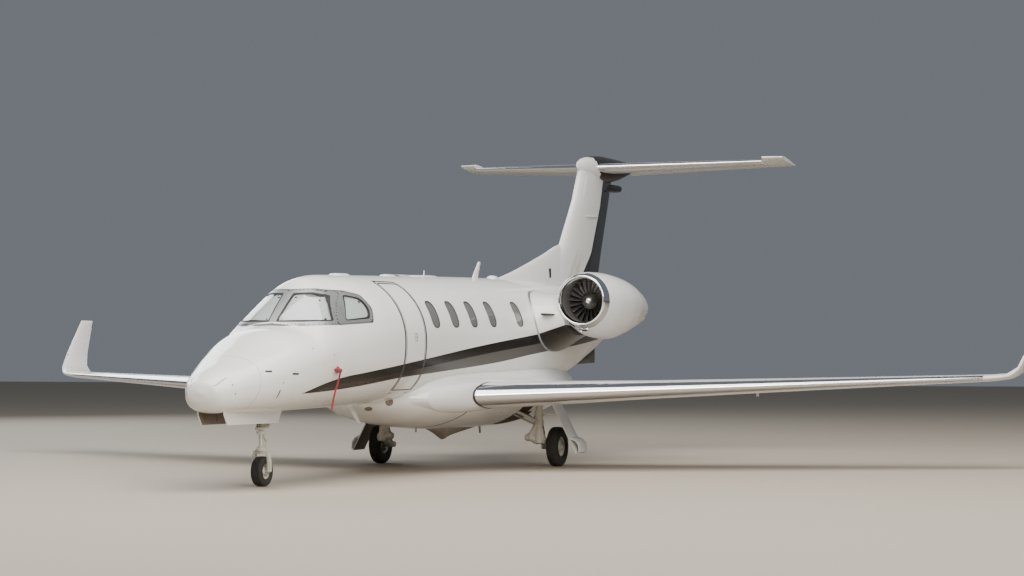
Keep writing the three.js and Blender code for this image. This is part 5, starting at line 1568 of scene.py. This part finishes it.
refined("nose_leg", "gear", width=0.003)
refined("nose_fork", "gear", "nose_fork", 0.003)
sleeve = rod(at(0, NOSE_LEG, 0.452), at(0, NOSE_LEG, 0.642), 0.0292, sides=40)
fit(sleeve, "chrome", "nose_fork", name="nose_piston_chrome")
caps = []
for sign in SIDES.values():
    ends = [NOSE_HUB + Vector((sign * reach, 0, 0)) for reach in (0.103, 0.112)]
    caps.append(rod(*ends, 0.024, 0.019, 24))
grouped("nose_axle_caps", caps, "steel", "nose_fork")
bands = [revolved([(0, 0.047), (0, 0.056), (0.018, 0.056), (0.018, 0.047)], at(0, NOSE_LEG, z), UP, 40)
         for z in (0.70, 0.80, 0.90)]
grouped("nose_leg_clamps", bands, "steel")
hoses = [pipe([at(x * share, NOSE_LEG - ahead, z) for share, ahead, z in NOSE_HOSE], HOSE)
         for x in (0.018, -0.018)]
grouped("nose_leg_hoses", hoses, "hose")
lamp_place = at(0, NOSE_LEG - 0.085, 0.93)
fit(revolved(LAMP_SHELL, lamp_place, AFT, 48), "steel", name="taxi_lamp_shell")
fit(revolved(LAMP_FACE, lamp_place, AFT, 48), "lens", name="taxi_lamp_lens")

for side, sign in SIDES.items():
    for part in ("leg", "arm"):
        refined(f"main_{part}_{side}", "gear", width=0.003)
    outward = (sign, 0, 0)
    fit(revolved(BRAKE, MAIN_HUBS[side], outward, 56), "steel", name=f"brake_pack_{side}")
    cap = revolved(WHEEL_CAP, MAIN_HUBS[side], outward, 32)
    fit(cap, "spinner", f"main_wheel_{side}", name=f"wheel_cap_{side}")
    fit(pipe([by_leg(sign, *place) for place in BRAKE_HOSE], HOSE), "hose", name=f"brake_hose_{side}")
    paint_inside(refined(f"main_door_{side}", "white", width=0.004), sign)

for side, sign in SIDES.items():
    template = side_prism(NOSE_DOOR, sign, 0.15, 0.2)
    paint_inside(refined(f"nose_door_{side}", "white", width=0.003, template=template), sign)
    reach = sorted((sign * 0.1515, sign * 0.1665))
    ribs = [between(s, s + 0.014, reach, (0.82, 0.915)) for s in (0.42, 0.72, 1.02, 1.32, 1.60)]
    grouped(f"nose_door_ribs_{side}", [bevelled(rib, 0.003) for rib in ribs], "bay")
refined("ventral_fin", "dark", width=0.004)
refined("antenna_roof", "white", width=0.004)
refined("antenna_belly", "white", width=0.005)
print("gear pieces:", [name for name in made if "nose_" in name][:12])


# %% [markdown]
# Small fittings stand along the roof and the belly: antennas and pads above, the pod and its masts below.

# %% Roof pads and belly pod
# First and last station, half width and height.
ROOF_PADS = {"roof_pad_forward": (3.52, 4.00, 0.085, 0.026), "roof_pad_middle": (5.09, 5.46, 0.075, 0.026),
             "roof_fairing": (5.98, 6.90, 0.11, 0.020), "roof_dome": (8.97, 9.18, 0.075, 0.048)}
ROOF_MAST = 6.51
KEEL = np.array([
    [6.55, 0.640, 0.572, 0.020, 0.600], [6.80, 0.640, 0.530, 0.095, 0.590],
    [7.02, 0.640, 0.470, 0.125, 0.585], [7.17, 0.640, 0.402, 0.085, 0.580],
    [7.34, 0.640, 0.440, 0.100, 0.585], [7.80, 0.640, 0.495, 0.090, 0.590],
    [8.40, 0.640, 0.550, 0.030, 0.600],
])
# Station, height at the top and at the foot, chord and distance from the middle.
BELLY_MASTS = [(8.52, 0.62, 0.452, 0.075, 0), (6.08, 0.66, 0.535, 0.06, 0.05),
               (5.6, 0.70, 0.565, 0.05, -0.22)]
BELLY_VENTS = [(0.118, 4.42), (0.383, 4.511), (-0.383, 4.511)]
VENT_RING = [(-0.002, 0), (-0.002, 0.055), (0.0025, 0.052), (0.003, 0.044), (0.001, 0.040), (0.001, 0)]


def crown_height(station):
    return float(column(FUSELAGE, 1, station))


def pad(first, last, half, height):
    """A low rounded pad along the crown, faired down to nothing at its ends."""
    rows = []
    for t in np.linspace(0, 1, 14):
        station = first + (last - first) * t
        swell = math.sqrt(max(1e-4, 1 - (2 * t - 1) ** 4))
        crown = crown_height(station)
        top, foot = crown + height * swell, crown - 0.05
        rows.append([station, top, foot, half * swell + 0.001, crown - 0.02 + height * 0.3])
    return trim(loft("pad", [section(np.array(rows), row[0], 0.0, 32) for row in rows]), [copy_of(barrel)])


def mast(station, top, foot, chord, x):
    front, rear = station + chord * 0.55, station + chord * 1.25
    outline = [(station, top), (station + chord, top), (rear, foot), (front, foot)]
    return bevelled(side_prism(outline, 1, x - 0.006, x + 0.006), 0.003)


for name, size in ROOF_PADS.items():
    fit(pad(*size), "white", name=name)
crown = crown_height(ROOF_MAST)
roof_mast = rod(at(0, ROOF_MAST, crown + 0.01), at(0, ROOF_MAST + 0.01, crown + 0.085), 0.009, 0.006, 16)
fit(roof_mast, "white", name="roof_mast")
fit(trim(body("belly_pod", KEEL, step=0.05, sides=48), [copy_of(fairing_solid)]), "pod")
grouped("belly_masts", [mast(*row) for row in BELLY_MASTS], "pod")
grouped("belly_vents", [revolved(VENT_RING, *touch_below(*spot), 32) for spot in BELLY_VENTS], "bay")
print("roof and belly fittings done")

# %% [markdown]
# A parked aircraft wears fabric covers over its probes, each with a long ribbon so that nobody forgets them.
# The cloth hangs straight down and turns a little as it falls.

# %% Probe covers
RIBBON_HALF, RIBBON_THICK = 0.0125, 0.0008
for side, sign in SIDES.items():
    root, out = touch(2.10, 1.435, sign)
    arm = root + out * 0.055
    bends = [Vector(step) for step in ((0, -0.02, 0), (0, -0.10, 0.004), (0, -0.15, 0.002))]
    cover = pipe([root - out * 0.004, root + out * 0.03, *[arm + bend for bend in bends]], 0.025, 16)
    cuff = revolved([(-0.002, 0), (-0.002, 0.044), (0.016, 0.038), (0.018, 0.0)], root, out, 24)
    rings = []
    for t in np.linspace(0, 1, 28):
        twist = sign * (1.15 + 0.45 * math.sin(t * 4.0 + 0.6))
        sway = -0.02 - 0.12 * t + 0.010 * math.sin(t * 8)
        middle = arm + Vector((-sign * 0.070 * t, sway, -0.012 - 0.475 * t))
        across = Vector((math.sin(twist), math.cos(twist), 0)) * RIBBON_HALF
        front = Vector((math.cos(twist), -math.sin(twist), 0)) * RIBBON_THICK
        rings.append([middle - across - front, middle + across - front, middle + across + front,
                      middle - across + front])
    grouped(f"probe_cover_{side}", [cover, cuff], "cover")
    fit(loft("ribbon", rings), "cover", name=f"probe_ribbon_{side}")
print("probe covers done")

# %% [markdown]
# Lamps at the wing tips are red to port and green to starboard. Static wicks bleed off charge, and the slots
# in the fin and the scoops under the cowls let cooling air in; their open insides are dark pieces of painted
# shade.

# %% Lamps, wicks and slots
TIP_LAMP = [(0, 0), (0, 0.012), (0.03, 0.016), (0.055, 0.012), (0.068, 0.005), (0.07, 0)]
TAIL_LAMP = [(-0.02, 0), (-0.02, 0.016), (0.004, 0.014), (0.01, 0)]
SCOOP_AXIS, SCOOP_WIDENING = (0, -0.72, -0.69), 1.9
SCOOP_RING = [(-0.04, 0.028), (0.008, 0.029), (0.018, 0.034), (0.006, 0.041), (-0.04, 0.045)]
SCOOP_MOUTH = [(-0.03, 0), (-0.03, 0.0285), (0.002, 0.0285), (0.002, 0)]
FIN_SLOT = [(11.27, 2.84), (11.33, 2.84), (11.33, 2.99), (11.27, 2.99)]
FIN_FAIRING = [(0.070, 12.86, 3.90), (0.094, 13.0, 3.903), (0.086, 13.3, 3.912), (0.055, 13.58, 3.92)]

for side, sign in SIDES.items():
    lamp = revolved(TIP_LAMP, at(sign * 7.872, 9.832, 1.60), (0, -1, 0.25), 20)
    fit(lamp, "red" if sign > 0 else "green", name=f"tip_lamp_{side}")
    wicks = []
    for x in (5.3, 6.0, 6.8):
        place, _ = chord_point(WING, x, 0.985)
        wick = rod(place + Vector((0, -0.01, 0)), place + Vector((0, 0.11, 0.004)), 0.0022, 0.0012, 8)
        turned_about(wick, aileron_line[0], aileron_axis, AILERON_REST[side])
        wicks.append(wick if sign > 0 else mirror(wick))
    grouped(f"aileron_wicks_{side}", wicks, "seal", f"aileron_{side}")
scoop_place = at(ENGINE_X - 0.01, ENGINE_STATION + 0.185, ENGINE_Z - 0.432)
# Each scoop's mouth is a dark disc: painted shade for its open inside.
for name, profile, key in (("cowl_scoop_rings", SCOOP_RING, "lip"),
                           ("cowl_scoop_mouths", SCOOP_MOUTH, "seal")):
    ring = revolved(profile, scoop_place, SCOOP_AXIS, 40)
    for vertex in ring.data.vertices:
        vertex.co.x = scoop_place.x + (vertex.co.x - scoop_place.x) * SCOOP_WIDENING
    grouped(name, [ring, mirror(copy_of(ring))], key)
# The fin's slots are dark pieces on the skin: painted shade for their open insides.
fin_slots = [side_prism(rounded(FIN_SLOT, 0.02), sign, 0.05, 0.0885) for sign in SIDES.values()]
grouped("fin_slots", fin_slots, "seal")
fit(revolved(TAIL_LAMP, at(0, 15.545, 4.87), AFT, 20), "lens", name="tail_lamp")
fin_fairings = [pipe([at(sign * x, s, z) for x, s, z in FIN_FAIRING], 0.014, 12, 8)
                for sign in SIDES.values()]
grouped("fin_hinge_fairings", fin_fairings, "white")
print("lamps:", [name for name in made if "lamp" in name])

# %% [markdown]
# The gear's castings, braces and brakes. The main leg is a trailing arm: the wheel rides behind the leg on a
# hinged beam, and a shock strut joins the two.

# %% Gear castings
ARCH = [(-0.104, 1.592, 0.186), (-0.108, 1.582, 0.29), (-0.096, 1.568, 0.392), (-0.052, 1.557, 0.440),
        (0, 1.555, 0.450), (0.052, 1.557, 0.440), (0.096, 1.568, 0.392), (0.108, 1.582, 0.29),
        (0.104, 1.592, 0.186)]
ARCH_COLLAR = [(0, 0.0295), (0, 0.062), (0.022, 0.066), (0.05, 0.050), (0.065, 0.036), (0.065, 0.0295)]
FLANGE = [(0, 0.0485), (0, 0.068), (0.012, 0.074), (0.03, 0.074), (0.042, 0.060), (0.09, 0.056),
          (0.10, 0.0485)]
LEG_COLLAR = [(0, 0.0525), (0, 0.068), (0.02, 0.072), (0.05, 0.060), (0.05, 0.0525)]
KNEE = [(0, 0), (0, 0.040), (0.008, 0.052), (0.075, 0.056), (0.085, 0.044), (0.098, 0.044),
        (0.104, 0.030), (0.104, 0)]
DOOR_FLARE = [(1.660, 0.425), (1.685, 0.425), (1.760, 0.392), (1.806, 0.330), (1.815, 0.215), (1.800, 0.211),
              (1.790, 0.318), (1.750, 0.370), (1.675, 0.398)]
# Places for by_leg.
BEAM = [(0, 0.02, 0.43), (0.012, 0.09, 0.40), (0.012, 0.18, 0.345), (0.01, 0.265, 0.29)]
LUG = [(-0.03, -0.01, 0.62), (-0.075, -0.04, 0.52), (-0.125, -0.075, 0.43)]
BRAKE_PISTONS = 5

arch = pipe([at(*place) for place in ARCH], 0.024, 16, 8)
grouped("nose_fork_arch", [arch, revolved(ARCH_COLLAR, at(0, NOSE_LEG, 0.436), UP, 40)], "gear", "nose_fork")
casting = [revolved(FLANGE, at(0, NOSE_LEG, 0.70), UP, 44),
           rod(at(-0.085, NOSE_LEG + 0.055, 0.745), at(0.085, NOSE_LEG + 0.055, 0.745), 0.026, sides=24)]
casting += [rod(at(x, NOSE_LEG + 0.02, 0.73), at(x, NOSE_LEG + 0.02, 0.80), 0.018, sides=18)
            for x in (0.06, -0.06)]
grouped("nose_leg_casting", casting, "gear")


def leg_rod(sign, start, end, *radii, sides):
    return rod(by_leg(sign, *start), by_leg(sign, *end), *radii, sides=sides)


def leg_pipe(sign, places, radius):
    return pipe([by_leg(sign, *place) for place in places], radius, 20)


for side, sign in SIDES.items():
    pieces = [revolved(LEG_COLLAR, by_leg(sign, 0, 0, z), UP, 40) for z in (0.47, 0.62, 0.74)]
    pieces += [
        leg_pipe(sign, BEAM, 0.056),
        leg_rod(sign, (0, -0.01, 0.35), (0, -0.005, 0.56), 0.078, 0.062, sides=32),
        leg_rod(sign, (-0.10, -0.03, 0.47), (0.05, -0.03, 0.47), 0.036, sides=24),
        leg_rod(sign, (-0.085, 0, 0.40), (0.080, 0, 0.40), 0.066, sides=32),
        leg_rod(sign, (-0.105, 0, 0.40), (0.090, 0, 0.40), 0.030, sides=24),
        revolved(KNEE, by_leg(sign, -0.085, -0.075, 0.425), (-sign, 0, 0), 36),
        leg_pipe(sign, LUG, 0.042),
        leg_rod(sign, (-0.12, -0.075, 0.425), (-0.01, 0.01, 0.375), 0.046, 0.058, sides=28),
    ]
    grouped(f"main_casting_{side}", pieces, "gear")
    shine = leg_rod(sign, (0, 0.155, 0.475), (0, 0.085, 0.62), 0.029, sides=28)
    fit(shine, "chrome", name=f"shock_chrome_{side}")
    braces = [leg_rod(sign, (-0.03, -0.01, 0.60), (-0.435, -0.16, 0.80), 0.016, sides=18),
              leg_rod(sign, (-0.03, 0.02, 0.66), (-0.375, 0.10, 0.84), 0.014, sides=18)]
    grouped(f"main_brace_{side}", braces, "steel")
    pistons = []
    for k in range(BRAKE_PISTONS):
        a = k / BRAKE_PISTONS * math.tau * 0.62 + 1.2
        spot = MAIN_HUBS[side] + Vector((-sign * 0.082, math.cos(a) * 0.078, math.sin(a) * 0.078))
        ends = [spot + Vector((sign * reach, 0, 0)) for reach in (-0.026, 0.006)]
        pistons.append(rod(*ends, 0.019, sides=16))
    grouped(f"brake_pistons_{side}", pistons, "steel")
    flare = bevelled(front_prism(DOOR_FLARE, 1, 7.95, 8.29), 0.002)
    fit(flare if sign > 0 else mirror(flare), "white", name=f"main_door_flare_{side}")
print("castings done")

# %% [markdown]
# Last, the cutting tools that are no longer needed are removed, and the pieces made are counted.

# %% Clearing up and the end
discard(barrel, cabin_space, wheel_well, fairing_solid, barrel_seat, *skins.values())
print("pieces made:", len(made))
